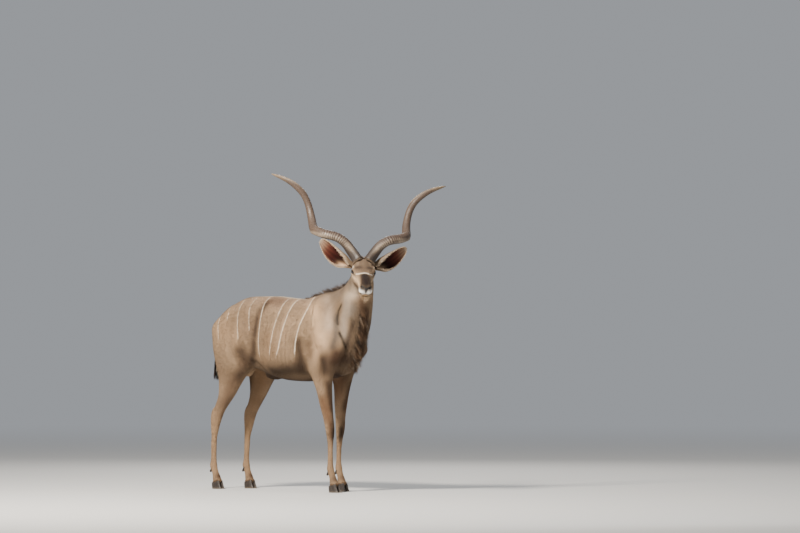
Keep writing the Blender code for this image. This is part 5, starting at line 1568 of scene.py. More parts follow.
def long_locks(name, plan, hairs, width, loose, draws, rings=6):
    """Locks of long hair as bundles of tapering hairs that draw together at their tips.

    `plan` has for each lock its root, tip, run along the skin, side, bow, two colours and
    place on the map. A hair starts beside the lock's root by a random part of the run and
    the side, ends `loose` of the lock's tip, and bends by half a sine of its way.
    """
    parts = []
    for root, tip, run, side, bow, (dark, light), spot in plan:
        start = draws.uniform(-1, 1, (hairs, 2))
        spread = run * start[:, :1] + side * start[:, 1:]
        ends = draws.normal(0, 1, (hairs, 3)) * loose
        reach = draws.uniform(0.72, 1.02, (hairs, 1))
        bows = bow + draws.normal(0, 0.0022, (hairs, 3))
        size = width * draws.uniform(0.6, 1.2, hairs)
        shade = draws.uniform(0, 1, (hairs, 1)) ** 1.5
        tone = linear(dark) * (1 - shade) + linear(light) * shade
        parts.append((
            root + spread, root + (tip - root) * reach + spread * 0.3 + ends, bows, size,
            tone * (1 + draws.normal(0, 0.1, (hairs, 1))), np.tile(spot, (hairs, 1)) + start * 0.012,
            np.tile(unit(side), (hairs, 1)),
        ))
    root, tip, bow, size, tint, spot, side = map(np.concatenate, zip(*parts))
    step = np.linspace(0, 1, rings)
    line = root[:, None] + (tip - root)[:, None] * step[None, :, None]
    line = line + bow[:, None] * np.sin(step * math.pi)[None, :, None]
    way = unit(tip - root)
    out = square_to(way, side)
    widths = size[:, None] * np.interp(step, [0, 0.25, 0.7, 1], [0.8, 1.0, 0.7, 0.05])
    return spindles(name, line, np.cross(way, out), out, widths, 0.5,
                    np.clip(spot, 0.02, 0.98), np.clip(tint, 0.004, 1))


def strip_plan(rows, count, lead, spread, tones, draws, start=0.0):
    """Locks along a strip of long hair, whose rows give the outer edge and the root.

    Each lock takes a place along the strip, aims at the edge `lead` further on and
    stands off the middle by up to `spread`. Those at the sides are shorter, and so are the
    first ones by the share `start`, which also turns them tan.
    """
    table = np.array(rows)[:, :6]
    at = np.linspace(0, 1, len(rows))
    chances = TONE_SHARES[: len(tones)] / TONE_SHARES[: len(tones)].sum()
    plan = []
    for i in range(count):
        place = np.clip((i + draws.uniform(0, 1)) / count, 0, 1)
        flank = draws.uniform(-1, 1)
        aim = np.clip(place + lead * draws.uniform(0.3, 1.3), 0, 1)
        row = steady_spline(at, table, np.array([place, aim]))
        ends = steady_spline(at, table, np.clip([place - 0.03, place + 0.03], 0, 1))
        run = unit(ends[1, :3] - ends[0, :3])
        root, tip = row[0, 3:6], row[1, :3]
        side = unit(np.cross(tip - root, run))
        off = side * spread * flank
        first = start * max(0.0, 1 - place / 0.3)
        size = draws.uniform(0.8, 1.0) * (1 - 0.22 * abs(flank)) * (1 - 0.8 * first)
        pair = np.array(tones[draws.choice(len(tones), p=chances)])
        pair += (np.array(TAN_HAIR) - pair) * first
        bow = run * draws.uniform(-0.01, 0.004) + side * draws.uniform(-0.006, 0.006)
        plan.append((
            root + off, root + (tip - root) * size + off * 0.75, run * 0.014, side * 0.006, bow, pair,
            (0.05 + 0.9 * place, 0.5 + 0.4 * flank),
        ))
    return plan


def tail_plan(count, draws):
    """Locks round the lower half of the tail, hanging past its end."""
    plan = []
    for i in range(count):
        height = draws.uniform(0.84, 0.985)
        angle = draws.uniform(0, 2 * math.pi)
        out = np.array((math.cos(angle), math.sin(angle), 0.0))
        middle = np.interp(height, [0.82, 0.905, 1.02], [-0.036, -0.034, -0.035])
        low = max(0.782, height - draws.uniform(0.07, 0.13))
        tip = np.array((-0.038, 0.0, low)) + out * draws.uniform(0.008, 0.024)
        tones = TAIL_TONES[int(draws.uniform() > 0.75)]
        if out[0] > 0.5 and height > 0.9:
            tones = TAIL_PALE
        plan.append((
            np.array((middle, 0, height)) + out * 0.01, tip, np.array((0, 0, 0.012)), out * 0.004,
            out * draws.uniform(0.002, 0.008), tones, (angle / 2 / math.pi, (height - 0.8) * 4),
        ))
    return plan


def beard_plan(draws):
    """Short locks hanging from the chin, cream and tan."""
    plan = []
    for i in range(BEARD_LOCKS):
        forward, left = draws.uniform(0.178, 0.256), draws.uniform(-0.034, 0.034)
        root = to_model([(forward, left, -0.074 + 9 * left * left)])[0]
        drop = draws.uniform(0.026, 0.066) * (1 - 0.38 * abs(left) / 0.034)
        tip = root + HEAD_TURN @ np.array((-0.004, -left * 0.3, 0.0)) + draws.normal(0, 0.003, 3)
        tip[2] -= drop
        tones = BEARD_TONES[int(draws.uniform() > 0.7)]
        plan.append((
            root, tip, HEAD_TURN @ np.array((0.006, 0, 0)), HEAD_TURN @ np.array((0.0, 0.004, 0.0)),
            draws.normal(0, 0.003, 3), tones, (0.5 + left * 10, (forward - 0.19) * 15),
        ))
    return plan


def throat_hair(skin, count, draws):
    """Long loose hair over the sides of the throat, beside the fringe, lying down the neck."""
    path = [row[3:6] for row in FRINGE]

    def weight(places, ear):
        lower = soft_step(0.0, 0.16, 1.42 - places[:, 2])
        beside = soft_step(0.028, 0.065, near_path(places, SMOOTH_SIDE))
        near = 1 - soft_step(0.04, 0.125, near_path(places, path))
        return near * lower * beside * (ear == 0) * (head_share(places) < 0.05)

    roots, normal, values = scatter(skin, weight, count, draws)
    down = np.tile([0.1, 0.0, -1.0], (count, 1))
    flow, across = combed(square_to(normal, down), normal, draws)
    full = soft_step(0.0, 0.24, 1.43 - roots[:, 2]) * soft_step(0.025, 0.105, near_path(roots, SMOOTH_SIDE))
    full = full * (1 - 0.8 * soft_step(0.035, 0.12, near_path(roots, path)))
    length = (0.017 + 0.067 * full) * draws.uniform(0.6, 1.1, count)
    step = np.array([-0.03, 0.33, 0.7, 1.0])
    drift = (length * draws.normal(0, 0.05, count))[:, None] * step ** 2
    rise = length[:, None] * (-0.03, 0.1, 0.09, 0.03)
    rise = rise + np.maximum(hug(values, flow, length), -0.004)[:, None] * step ** 2
    line = bent_lines(roots, flow, length, step, normal, rise) + across[:, None] * drift[..., None]
    width = 0.0019 * (draws.uniform(0.6, 1.2, count) * (0.65 + 0.35 * full))[:, None] * HAIR_TAPER
    brown = np.tile(linear(THROAT_DARK), (count, 1))
    shade = toward(brown, THROAT_PALE, draws.uniform(0, 1, count))
    mix = draws.uniform(0.2, 0.9, (count, 1)) * (0.15 + 0.85 * full[:, None])
    tint = values["tint"] * (1 - mix) + shade * mix
    return spindles("coat_throat", line, across, normal, width, 0.4, unwrap(roots, values["ear"]), tint)


def rooted_hair(name, root, way, out, size, width, tones, spot, draws):
    """Single hairs from `root` along `way`, bent outwards by an eighth of their length.

    Each has a colour between the two tones, and its root sits a twentieth of its length deep.
    """
    out = square_to(way, out)
    step = np.array([-0.05, 0.35, 0.7, 1.0])
    line = bent_lines(root, way, size, step, out, size[:, None] * 0.12 * np.sin(step * math.pi))
    widths = np.broadcast_to(width * HAIR_TAPER, (len(root), 4))
    tone = draws.uniform(0, 1, (len(root), 1))
    tint = linear(tones[1]) * tone + linear(tones[0]) * (1 - tone)
    return spindles(name, line, np.cross(way, out), out, widths, 0.5, np.clip(spot, 0, 1), tint)


def ear_fringe(count, draws):
    """Cream hairs along both rims of each ear, leaning over the cup towards its tip."""
    parts = []
    for number, side in EAR_NUMBERS:
        length, face, across = ear_axes(side)
        share = draws.uniform(0.08, 0.97, count)
        rim = np.where(draws.uniform(size=count) < 0.5, 1.0, -1.0)
        width, depth, wall, wrap = ear_profile(share)
        inset = draws.uniform(0.86, 1.0, count)
        turn = rim * inset * wrap
        flat = np.sin(turn) * (width - wall * 0.5) / np.sin(np.minimum(wrap, math.pi / 2))
        high = -np.cos(turn) * (depth - wall * 0.6) + depth * 0.5
        root = ear_middle(side, share) + across * flat[:, None] + face * high[:, None]
        lean = draws.uniform(0.2, 0.9, count)[:, None]
        way = length * 0.8 - across * np.sign(flat)[:, None] * lean
        way = unit(way + face * draws.uniform(0.0, 0.45, (count, 1)))
        spot = np.stack([0.25 + 0.5 * (number - 1) + 0.2 * rim * inset, share], 1)
        size = draws.uniform(0.01, 0.024, count) * (1 + 0.5 * bell(share - 0.35, 0.2) - 0.5 * share)
        parts.append((root, way, np.tile(face, (count, 1)), spot, size))
    root, way, out, spot, size = map(np.concatenate, zip(*parts))
    tones = (0.62, 0.5, 0.4), CREAM
    return rooted_hair("coat_ear_rims", root, way, out, size, 0.0011, tones, spot, draws)


def horn_root_hair(skin, draws):
    """Short hair round the horns' roots, leaning up along them.

    On each line up the horn, hair starts where the horn leaves the skin: at the first ring
    whose offset from the nearest skin point is positive along that point's normal.
    """
    points, normals = read_points(skin.data), read_normals(skin.data)
    rings, around, count = 90, 72, HORN_ROOT_HAIRS
    parts = []
    for side in (1, -1):
        grid = horn_surface(side, rings, around)[0].reshape(rings + 1, around, 3)[:16]
        near = np.linalg.norm(points - grid[2].mean(0), axis=1) < 0.1
        skin_points, skin_normals = points[near], normals[near]
        flat = grid.reshape(-1, 3)
        nearest = np.array([np.argmin(((skin_points - place) ** 2).sum(1)) for place in flat])
        height = ((flat - skin_points[nearest]) * skin_normals[nearest]).sum(1).reshape(grid.shape[:2])
        leaves = np.minimum(np.argmax(height > 0.0, axis=0), 12)
        spoke = draws.integers(0, around, count)
        ring = leaves[spoke]
        start = grid[ring, spoke]
        out = unit(start - grid[ring].mean(1))
        way = unit(grid[ring + 2, spoke] - start)
        start = start + np.cross(way, out) * (draws.uniform(-1, 1, (count, 1)) * 0.0022)
        start = start + out * 0.0006 - way * draws.uniform(0.002, 0.009, (count, 1))
        lean = way + out * draws.uniform(0.0, 0.22, (count, 1)) + draws.normal(0, 0.16, (count, 3))
        parts.append((start, unit(lean), out))
    root, way, out = map(np.concatenate, zip(*parts))
    size = draws.uniform(0.007, 0.018, len(root))
    spot = draws.uniform(0.05, 0.95, (len(root), 2))
    tones = (0.33, 0.27, 0.22), (0.54, 0.455, 0.37)
    return rooted_hair("horn_root_hair", root, way, out, size, 0.0012, tones, spot, draws)


def coronet_hair(skin, draws):
    """Short hair that hangs from the lowest skin of each foot over the top of its hoof."""
    points, normals = read_points(skin.data), read_normals(skin.data)
    parts = []
    for middle, y in foot_places():
        over = points[:, 2] - coronet(points[:, 0], middle)
        near = np.hypot(points[:, 0] - middle, points[:, 1] - y) < 0.07
        chosen = draws.choice(np.flatnonzero(near & (over > 0.001) & (over < 0.013)), CORONET_HAIRS)
        jitter = draws.normal(0, 0.0015, (CORONET_HAIRS, 3)) * (1, 1, 0.5)
        parts.append((points[chosen] + jitter, normals[chosen]))
    root, out = map(np.concatenate, zip(*parts))
    way = unit(np.array((0.1, 0.0, -1.0)) + out * draws.uniform(0.12, 0.3, (len(out), 1)))
    size = draws.uniform(0.007, 0.014, len(root))
    spot = draws.uniform(0.05, 0.95, (len(root), 2))
    tones = (0.3, 0.22, 0.16), (0.56, 0.44, 0.33)
    return rooted_hair("coronet_hair", root, way, out, size, 0.0013, tones, spot, draws)


def drooping(root, way, length, down, droop):
    """Lines of five points from each root, that sink by `droop` of their length to the tip."""
    step = np.linspace(0, 1, 5)
    return bent_lines(root, way, length, step, down, length[:, None] * droop * step ** 2)


def lashes(side, draws):
    """Lines of the upper lid's lashes, and the way up from them."""
    gaze, corner, across = eye_axes(side)
    up = across if (HEAD_TURN.T @ across)[2] > 0 else -across
    angle = draws.uniform(0.1 * math.pi, 0.92 * math.pi, LASHES)
    reach, rise = np.cos(angle) * 0.0195, np.sin(angle) * 0.012
    depth = np.sqrt((EYE_RADIUS + LID) ** 2 - np.hypot(reach, rise) ** 2) - 0.0006
    root = eye_centre(side) + gaze * depth[:, None] + corner * reach[:, None] + up * rise[:, None]
    way = unit(gaze * 0.9 + up * 0.45 + corner * (np.cos(angle) * 0.5)[:, None])
    ups = np.tile(up, (LASHES, 1))
    return drooping(root, way, draws.uniform(0.006, 0.01, LASHES), -ups, 0.22), ups


def whiskers(side, draws):
    """Lines of the whiskers on one side of lips and chin, and the way up from them."""
    forward, left = draws.uniform(0.205, 0.262, WHISKERS), draws.uniform(0.02, 0.042, WHISKERS) * side
    low = draws.uniform(-0.078, -0.03, WHISKERS)
    root = to_model(np.stack([forward, left * np.where(low < -0.06, 0.6, 1.0), low], 1))
    way = unit(np.array([0.45, 0.8 * side, -0.45]) + draws.normal(0, 0.15, (WHISKERS, 3))) @ HEAD_TURN.T
    sink = np.tile((0.0, 0.0, -1.0), (WHISKERS, 1))
    line = drooping(root, way, draws.uniform(0.018, 0.032, WHISKERS), sink, 0.25)
    return line, np.tile(LEVEL[:, 2], (WHISKERS, 1))


def lashes_and_whiskers(draws):
    """Dark fine hairs on lids, lips and chin."""
    parts = [make(side, draws) for side in (-1, 1) for make in (lashes, whiskers)]
    line, out = map(np.concatenate, zip(*parts))
    way = unit(line[:, -1] - line[:, 0])
    out = square_to(way, out)
    count = len(line)
    width = np.broadcast_to(0.0004 * np.array([1.0, 0.9, 0.7, 0.45, 0.1]), (count, 5))
    spot = np.stack([np.linspace(0.05, 0.95, count), np.full(count, 0.5)], 1)
    tint = np.tile(linear(LASH), (count, 1))
    return spindles("lashes", line, np.cross(way, out), out, width, 0.8, spot, tint)


class Finish:
    """A material's node tree in the making: adds shader nodes and joins their sockets."""

    def __init__(self, name):
        self.material = bpy.data.materials.new(name)
        self.material.use_nodes = True
        self.tree = self.material.node_tree
        self.tree.nodes.clear()
        self.place = self.node("TexCoord").outputs["Object"]

    def node(self, kind, inputs=(), **settings):
        """A new shader node with its settings. `inputs` sets or joins sockets by name or number."""
        made = self.tree.nodes.new("ShaderNode" + kind)
        for key, value in settings.items():
            setattr(made, key, value)
        for key, value in dict(inputs).items():
            if isinstance(value, bpy.types.NodeSocket):
                self.tree.links.new(value, made.inputs[key])
            else:
                made.inputs[key].default_value = value
        return made

    def attribute(self, name, output="Fac"):
        return self.node("Attribute", attribute_name=name).outputs[output]

    def noise(self, scale, detail=3.0, place=None):
        inputs = {"Vector": place or self.place, "Scale": scale, "Detail": detail, "Roughness": 0.55}
        return self.node("TexNoise", inputs).outputs["Fac"]

    def streaks(self, size, detail, place=None):
        """Noise on coordinates whose axes are scaled by `size`."""
        scaled = self.node("Mapping", {"Vector": place or self.place, "Scale": size})
        return self.noise(1.0, detail, scaled.outputs["Vector"])

    def cells(self, scale):
        return self.node("TexVoronoi", {"Vector": self.place, "Scale": scale}).outputs["Distance"]

    def math(self, operation, first, second=0.0):
        return self.node("Math", {0: first, 1: second}, operation=operation).outputs[0]

    def span(self, value, low, high, start=0.0, end=1.0, curve="SMOOTHSTEP"):
        """`start` where the value is below `low`, `end` above `high`, and a curve between them."""
        inputs = {"Value": value, 1: low, 2: high, 3: start, 4: end}
        return self.node("MapRange", inputs, interpolation_type=curve).outputs[0]

    def ramp(self, *bounds):
        """A span with a straight line between its bounds."""
        return self.span(*bounds, "LINEAR")

    def mix(self, share, first, second, blend="MIX"):
        inputs = {0: share, 6: first, 7: second}
        return self.node("Mix", inputs, data_type="RGBA", blend_type=blend).outputs[2]

    def over(self, colour, other, *bounds):
        """A colour that goes over to a display colour by a span with these bounds."""
        return self.mix(self.span(*bounds), colour, rgba(other))

    def tone(self, colour, bright):
        """A colour times a brightness."""
        grey = self.node("CombineColor", {"Red": bright, "Green": bright, "Blue": bright})
        return self.mix(1.0, colour, grey.outputs[0], "MULTIPLY")

    def bump(self, height, distance, strength, under=None):
        inputs = {"Height": height, "Distance": distance, "Strength": strength}
        if under is not None:
            inputs["Normal"] = under
        return self.node("Bump", inputs).outputs["Normal"]

    def shader(self, colour, rough, normal=None, **inputs):
        """A principled shader. Further inputs are named with underscores for blanks."""
        inputs = {key.replace("_", " "): value for key, value in inputs.items()}
        inputs.update({"Base Color": colour, "Roughness": rough})
        if normal is not None:
            inputs["Normal"] = normal
        return self.node("BsdfPrincipled", inputs).outputs[0]

    def made_of(self, shader):
        """The material, once its surface is this shader."""
        self.node("OutputMaterial", {"Surface": shader})
        return self.material


def rgba(colour):
    """A display colour as the linear colour with alpha that sockets hold."""
    return (*linear(colour), 1.0)


def striped(finish, colour):
    """Lays the white stripes over a coat colour, with wavering edges."""
    waver = finish.ramp(finish.noise(60.0), 0.3, 0.7, -0.0016, 0.0016)
    away = finish.math("ADD", finish.attribute("stripe"), waver)
    return finish.over(colour, STRIPE_WHITE, away, 0.0027, 0.0056, 0.8, 0.0)


def coat_colour(finish):
    """The painted tint with broad mottling, fine flecks and the stripes."""
    broad = finish.ramp(finish.noise(5.5, 4.0), 0.3, 0.7, 0.88, 1.12)
    fleck = finish.ramp(finish.noise(260.0), 0.25, 0.75, 0.82, 1.18)
    tint = finish.attribute("tint", "Color")
    return striped(finish, finish.tone(tint, finish.math("MULTIPLY", broad, fleck)))


def skin_finish():
    """Short flat hair as streaks of bump, and dark wet leather where the skin is bare."""
    finish = Finish("kudu skin")
    bare = finish.attribute("bare")
    pebbles = finish.cells(620.0)
    dark = finish.tone(rgba((0.085, 0.07, 0.065)), finish.span(pebbles, 0.0, 0.6, 0.75, 1.25))
    colour = finish.mix(finish.span(bare, 0.55, 0.9), coat_colour(finish), dark)
    fine = finish.bump(finish.streaks((260.0, 520.0, 300.0), 4.0), 0.0009, 0.7)
    normal = finish.bump(pebbles, 0.0006, finish.span(bare, 0.5, 0.9), fine)
    rough = finish.span(bare, 0.5, 0.95, 0.8, 0.27)
    shine = finish.span(bare, 0.5, 0.95, 0.12, 0.5)
    return finish.made_of(finish.shader(colour, rough, normal, Specular_IOR_Level=shine))


def tuft_finish():
    """Short tufts: the skin's colours, darker at the root as painted shade among the tufts and lighter
    towards the tip.
    """
    finish = Finish("kudu short coat")
    # Painted shade: each tuft darker at its root, where the tufts shade one another.
    along = finish.ramp(finish.attribute("along"), 0.0, 1.0, 0.88, 1.12)
    normal = finish.bump(finish.streaks((380.0, 900.0, 420.0), 2.0), 0.0007, 0.6)
    sheen = {"Sheen_Weight": 0.04, "Sheen_Roughness": 0.45, "Specular_IOR_Level": 0.14}
    return finish.made_of(finish.shader(finish.tone(coat_colour(finish), along), 0.74, normal, **sheen))


def long_finish():
    """Long hair: each hair's own colour, darker at the root as painted shade, with a soft gloss."""
    finish = Finish("kudu long hair")
    # Painted shade: each hair darker at its root.
    shade = finish.ramp(finish.attribute("along"), 0.0, 1.0, 0.82, 1.15)
    fleck = finish.ramp(finish.noise(180.0), 0.3, 0.7, 0.85, 1.15)
    colour = finish.tone(finish.attribute("tint", "Color"), finish.math("MULTIPLY", shade, fleck))
    return finish.made_of(finish.shader(colour, 0.55, Specular_IOR_Level=0.25))


def horn_finish():
    """Horn: brown, grey and dark at the root, darker in the valleys as painted shade, and pale along the keel
    as a painted highlight.
    """
    finish = Finish("kudu horn")
    along = finish.attribute("along")
    grain = finish.attribute("grain", "Vector")
    streak = finish.streaks((26.0, 26.0, 7.0), 5.0, grain)
    growth = finish.streaks((2.4, 2.4, 70.0), 4.0, grain)
    blotch = finish.noise(16.0, 4.0)
    keel = finish.math("MULTIPLY", finish.attribute("ridge"), finish.span(along, 0.01, 0.16, 0.35, 1.0))
    colour = finish.over(rgba((0.19, 0.16, 0.14)), (0.33, 0.265, 0.215), along, 0.02, 0.3)
    # Painted highlight: pale along the keel, where the light catches the horn's edge.
    colour = finish.over(colour, (0.57, 0.505, 0.43), keel, 0.15, 0.95, 0.0, 0.75)
    colour = finish.over(colour, (0.5, 0.42, 0.32), along, 0.86, 0.985)
    colour = finish.over(colour, (0.28, 0.215, 0.17), blotch, 0.4, 0.66, 0.0, 0.55)
    # Painted shade: darker in the valleys between the growth rings.
    colour = finish.over(colour, (0.19, 0.115, 0.085), finish.attribute("valley"), 0.1, 0.8, 0.0, 0.85)
    light = finish.span(streak, 0.3, 0.7, 0.76, 1.2)
    colour = finish.tone(colour, finish.math("MULTIPLY", light, finish.span(growth, 0.3, 0.7, 0.8, 1.16)))
    normal = finish.bump(growth, 0.0016, 0.6, finish.bump(streak, 0.0012, 0.55))
    return finish.made_of(finish.shader(colour, finish.span(blotch, 0.35, 0.65, 0.42, 0.62), normal))


def hoof_finish():
    """Hooves: near black horn with growth rings and a worn, dusty edge at the ground."""
    finish = Finish("kudu hoof")
    rings = finish.streaks((30.0, 30.0, 420.0), 4.0)
    streak = finish.streaks((330.0, 330.0, 40.0), 4.0)
    height = finish.node("SeparateXYZ", {"Vector": finish.place}).outputs[2]
    worn = finish.math("ADD", height, finish.span(streak, 0.3, 0.7, -0.004, 0.004))
    colour = finish.over(rgba((0.125, 0.105, 0.095)), (0.235, 0.2, 0.175), streak, 0.3, 0.72)
    colour = finish.over(colour, (0.3, 0.26, 0.225), rings, 0.45, 0.7, 0.0, 0.4)
    colour = finish.over(colour, (0.43, 0.38, 0.32), worn, 0.002, 0.014, 0.6, 0.0)
    normal = finish.bump(rings, 0.0012, 0.6, finish.bump(streak, 0.0008, 0.5))
    return finish.made_of(finish.shader(colour, finish.span(streak, 0.3, 0.7, 0.32, 0.5), normal))


def eye_finish():
    """Eye: dark brown iris with a wide level pupil, a dark rim, under a clear wet coat.

    The `look` attribute holds the sine of the angle off the gaze along the lids, across
    them, and the cosine.
    """
    finish = Finish("kudu eye")
    look = finish.attribute("look", "Vector")
    reach, rise, ahead = finish.node("SeparateXYZ", {"Vector": look}).outputs
    wide = finish.math("POWER", finish.math("DIVIDE", reach, 0.4), 2.0)
    high = finish.math("POWER", finish.math("DIVIDE", rise, 0.2), 2.0)
    pupil = finish.math("SQRT", finish.math("ADD", wide, high))
    fibre = finish.span(finish.streaks((34.0, 34.0, 4.0), 3.0, look), 0.3, 0.7, 0.7, 1.35)
    iris = finish.tone(rgba((0.13, 0.07, 0.045)), fibre)
    colour = finish.over(iris, (0.02, 0.022, 0.035), pupil, 0.85, 1.1, 1.0, 0.0)
    colour = finish.over(colour, (0.075, 0.045, 0.035), ahead, 0.66, 0.8, 1.0, 0.0)
    wet = {"Specular_IOR_Level": 0.3, "Coat_Weight": 0.55, "Coat_Roughness": 0.03}
    return finish.made_of(finish.shader(colour, 0.15, **wet))


def floor_finish(colour):
    """A pale floor that fades into the colour of the sky 6 to 20 m out."""
    finish = Finish("studio floor")
    away = finish.node("VectorMath", {"Vector": finish.place}, operation="LENGTH").outputs["Value"]
    near = finish.shader((*colour, 1.0), 0.9)
    far = finish.node("Emission", {"Color": (*SKY, 1.0), "Strength": SKY_LIGHT}).outputs[0]
    fade = {0: finish.span(away, 6.0, 20.0), 1: near, 2: far}
    return finish.made_of(finish.node("MixShader", fade).outputs[0])


def dress(made, finish, slot, *nodes):
    """Gives a piece its finish and its place on the model, and hides the imported parts of the nodes it
    stands for.
    """
    made.data.materials.clear()
    made.data.materials.append(finish)
    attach(made, "root")
    if nodes:
        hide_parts(*nodes)
    return made


def piece(name):
    """A piece made by an earlier operator."""
    found = bpy.data.objects.get(name)
    if found is None:
        raise RuntimeError(f"{name} is missing: run the operators in the panel's order")
    return found


def shared_finish(name, make):
    """A finish by name, made on its first use."""
    return bpy.data.materials.get(name) or make()


class KuduSkinSettings(bpy.types.PropertyGroup):
    skin_voxel: FloatProperty(
        name="Fusing grain", description="Grid size at which trunk, neck, head and legs grow together",
        default=0.0098, min=0.004, unit="LENGTH",
    )
    coat_depth: FloatProperty(
        name="Coat depth", description="Thickness of the short coat over the skin of the trunk",
        default=0.0035, min=0.0, unit="LENGTH",
    )
    ear_rings: IntProperty(name="Ear rings", description="Rings along each ear", default=72, min=8)


class KuduCoatSettings(bpy.types.PropertyGroup):
    trunk_tufts: IntProperty(
        name="Trunk tufts", description="Short tufts on each side of the trunk", default=46500, min=100,
    )
    neck_tufts: IntProperty(name="Neck tufts", description="Short tufts on the neck", default=45500, min=100)
    leg_tufts: IntProperty(
        name="Leg tufts", description="Short tufts on the four legs", default=41500, min=100,
    )
    head_tufts: IntProperty(name="Head tufts", description="Short tufts on the face", default=45000, min=100)
    ear_tufts: IntProperty(name="Ear tufts", description="Short tufts on both ears", default=15500, min=100)


class KuduLongHairSettings(bpy.types.PropertyGroup):
    fringe_locks: IntProperty(
        name="Fringe locks", description="Locks of long hair down the throat", default=300, min=10,
    )
    mane_locks: IntProperty(
        name="Mane locks", description="Locks along nape and withers", default=170, min=10,
    )
    tail_locks: IntProperty(name="Tail locks", description="Locks of the tail's tuft", default=60, min=5)
    throat_hairs: IntProperty(
        name="Throat hair", description="Loose long tufts over the sides of the throat", default=8500, min=50,
    )
    ear_hairs: IntProperty(
        name="Ear hairs", description="Pale hairs on each ear's rims", default=1100, min=10,
    )


class KuduHornSettings(bpy.types.PropertyGroup):
    rings: IntProperty(name="Rings", description="Rings of points along each horn", default=520, min=50)
    around: IntProperty(name="Around", description="Points round each horn", default=72, min=12)


class KuduEyeSettings(bpy.types.PropertyGroup):
    rings: IntProperty(
        name="Rings", description="Rings from the pupil to the back of the eye", default=48, min=8,
    )
    around: IntProperty(name="Around", description="Points round each ring", default=64, min=8)


class KuduHoofSettings(bpy.types.PropertyGroup):
    rings: IntProperty(name="Rings", description="Rings from the sole to the coronet", default=22, min=6)
    around: IntProperty(name="Around", description="Points round each claw", default=56, min=8)


class KuduStageSettings(bpy.types.PropertyGroup):
    lens: FloatProperty(name="Lens", description="Focal length of the camera in mm", default=277.4, min=20.0)
    distance: FloatProperty(
        name="Distance", description="From the camera to the bull", default=45.0, unit="LENGTH",
    )
    azimuth: FloatProperty(
        name="Azimuth", description="Turn of the camera from the bull's right side towards its chest",
        default=math.radians(45.0), subtype="ANGLE",
    )
    elevation: FloatProperty(
        name="Elevation", description="Height of the camera as an angle",
        default=math.radians(2.0), subtype="ANGLE",
    )
    floor_colour: FloatVectorProperty(
        name="Floor", description="Colour of the studio floor",
        default=(0.6, 0.59, 0.57), subtype="COLOR", size=3,
    )


class KUDU_OT_skin(bpy.types.Operator):
    """Builds the skin of trunk, neck, head, ears, tail and legs with its colours, painted shade and painted
    highlights
    """

    bl_idname = "kudu.skin"
    bl_label = "Skin"

    def execute(self, context):
        settings = context.scene.kudu_skin
        skin = build_skin(settings)
        tuck_feet(skin.data)
        skin = add_ears(skin, settings)
        nodes = ["torso", "neck", "head", "tail", "ear_left", "ear_right"]
        for end in ("front", "rear"):
            nodes += [f"leg_{end}_left", f"leg_{end}_right"]
        dress(skin, skin_finish(), "coat", *nodes)
        return {"FINISHED"}


def trunk_weight(side):
    """Where the tufts of one side of the trunk lie."""
    def weight(places, ear):
        return region_shares(places, ear)[3] * (places[:, 1] * side > 0)
    return weight


def neck_weight(places, ear):
    """Tufts on the neck, denser towards the head."""
    near = 1 - soft_step(0.0, 0.36, -to_head(places)[:, 0])
    return region_shares(places, ear)[1] * (ear == 0) * (1 + 1.4 * near)


def leg_weight(places, ear):
    """Tufts on the legs, up to twice as dense at the feet."""
    return region_shares(places, ear)[2] * (ear == 0) * (2 - soft_step(0.05, 0.45, places[:, 2]))


def face_weight(places, ear):
    """Tufts on the head: none inside the lids, and denser towards the nose."""
    weight = region_shares(places, ear)[0] * (ear == 0)
    for side in (-1, 1):
        depth, radius, almond = lid_place(places, side)[:3]
        weight = weight * (1 - ((depth > -0.004) & (radius < 0.05) & (almond < 1.25)))
    return weight * (1 + 1.2 * soft_step(0.0, 0.15, to_head(places)[:, 0]))


def ear_weight(places, ear):
    """Tufts on the backs of the ears, and fewer in the cups."""
    return (ear > 0) * np.where(ear % 1 > 0.25, 0.35, 1.0)


class KUDU_OT_short_coat(bpy.types.Operator):
    """Scatters the short tufts over trunk, neck, head, ears and legs"""

    bl_idname = "kudu.short_coat"
    bl_label = "Short coat"

    def execute(self, context):
        settings = context.scene.kudu_coat
        skin = piece("skin_coat")
        finish = shared_finish("kudu short coat", tuft_finish)
        plans = [
            ("coat_trunk_left", trunk_weight(1), settings.trunk_tufts, "coat"),
            ("coat_trunk_right", trunk_weight(-1), settings.trunk_tufts, "coat"),
            ("coat_neck", neck_weight, settings.neck_tufts, "neck_coat"),
            ("coat_legs", leg_weight, settings.leg_tufts, "leg_coat"),
            ("coat_head", face_weight, settings.head_tufts, "head_coat"),
            ("coat_ears", ear_weight, settings.ear_tufts, "ear_coat"),
        ]
        for number, (name, weight, count, slot) in enumerate(plans):
            draws = np.random.default_rng(40 + number)
            dress(short_tufts(skin, name, weight, count, draws), finish, slot)
        return {"FINISHED"}


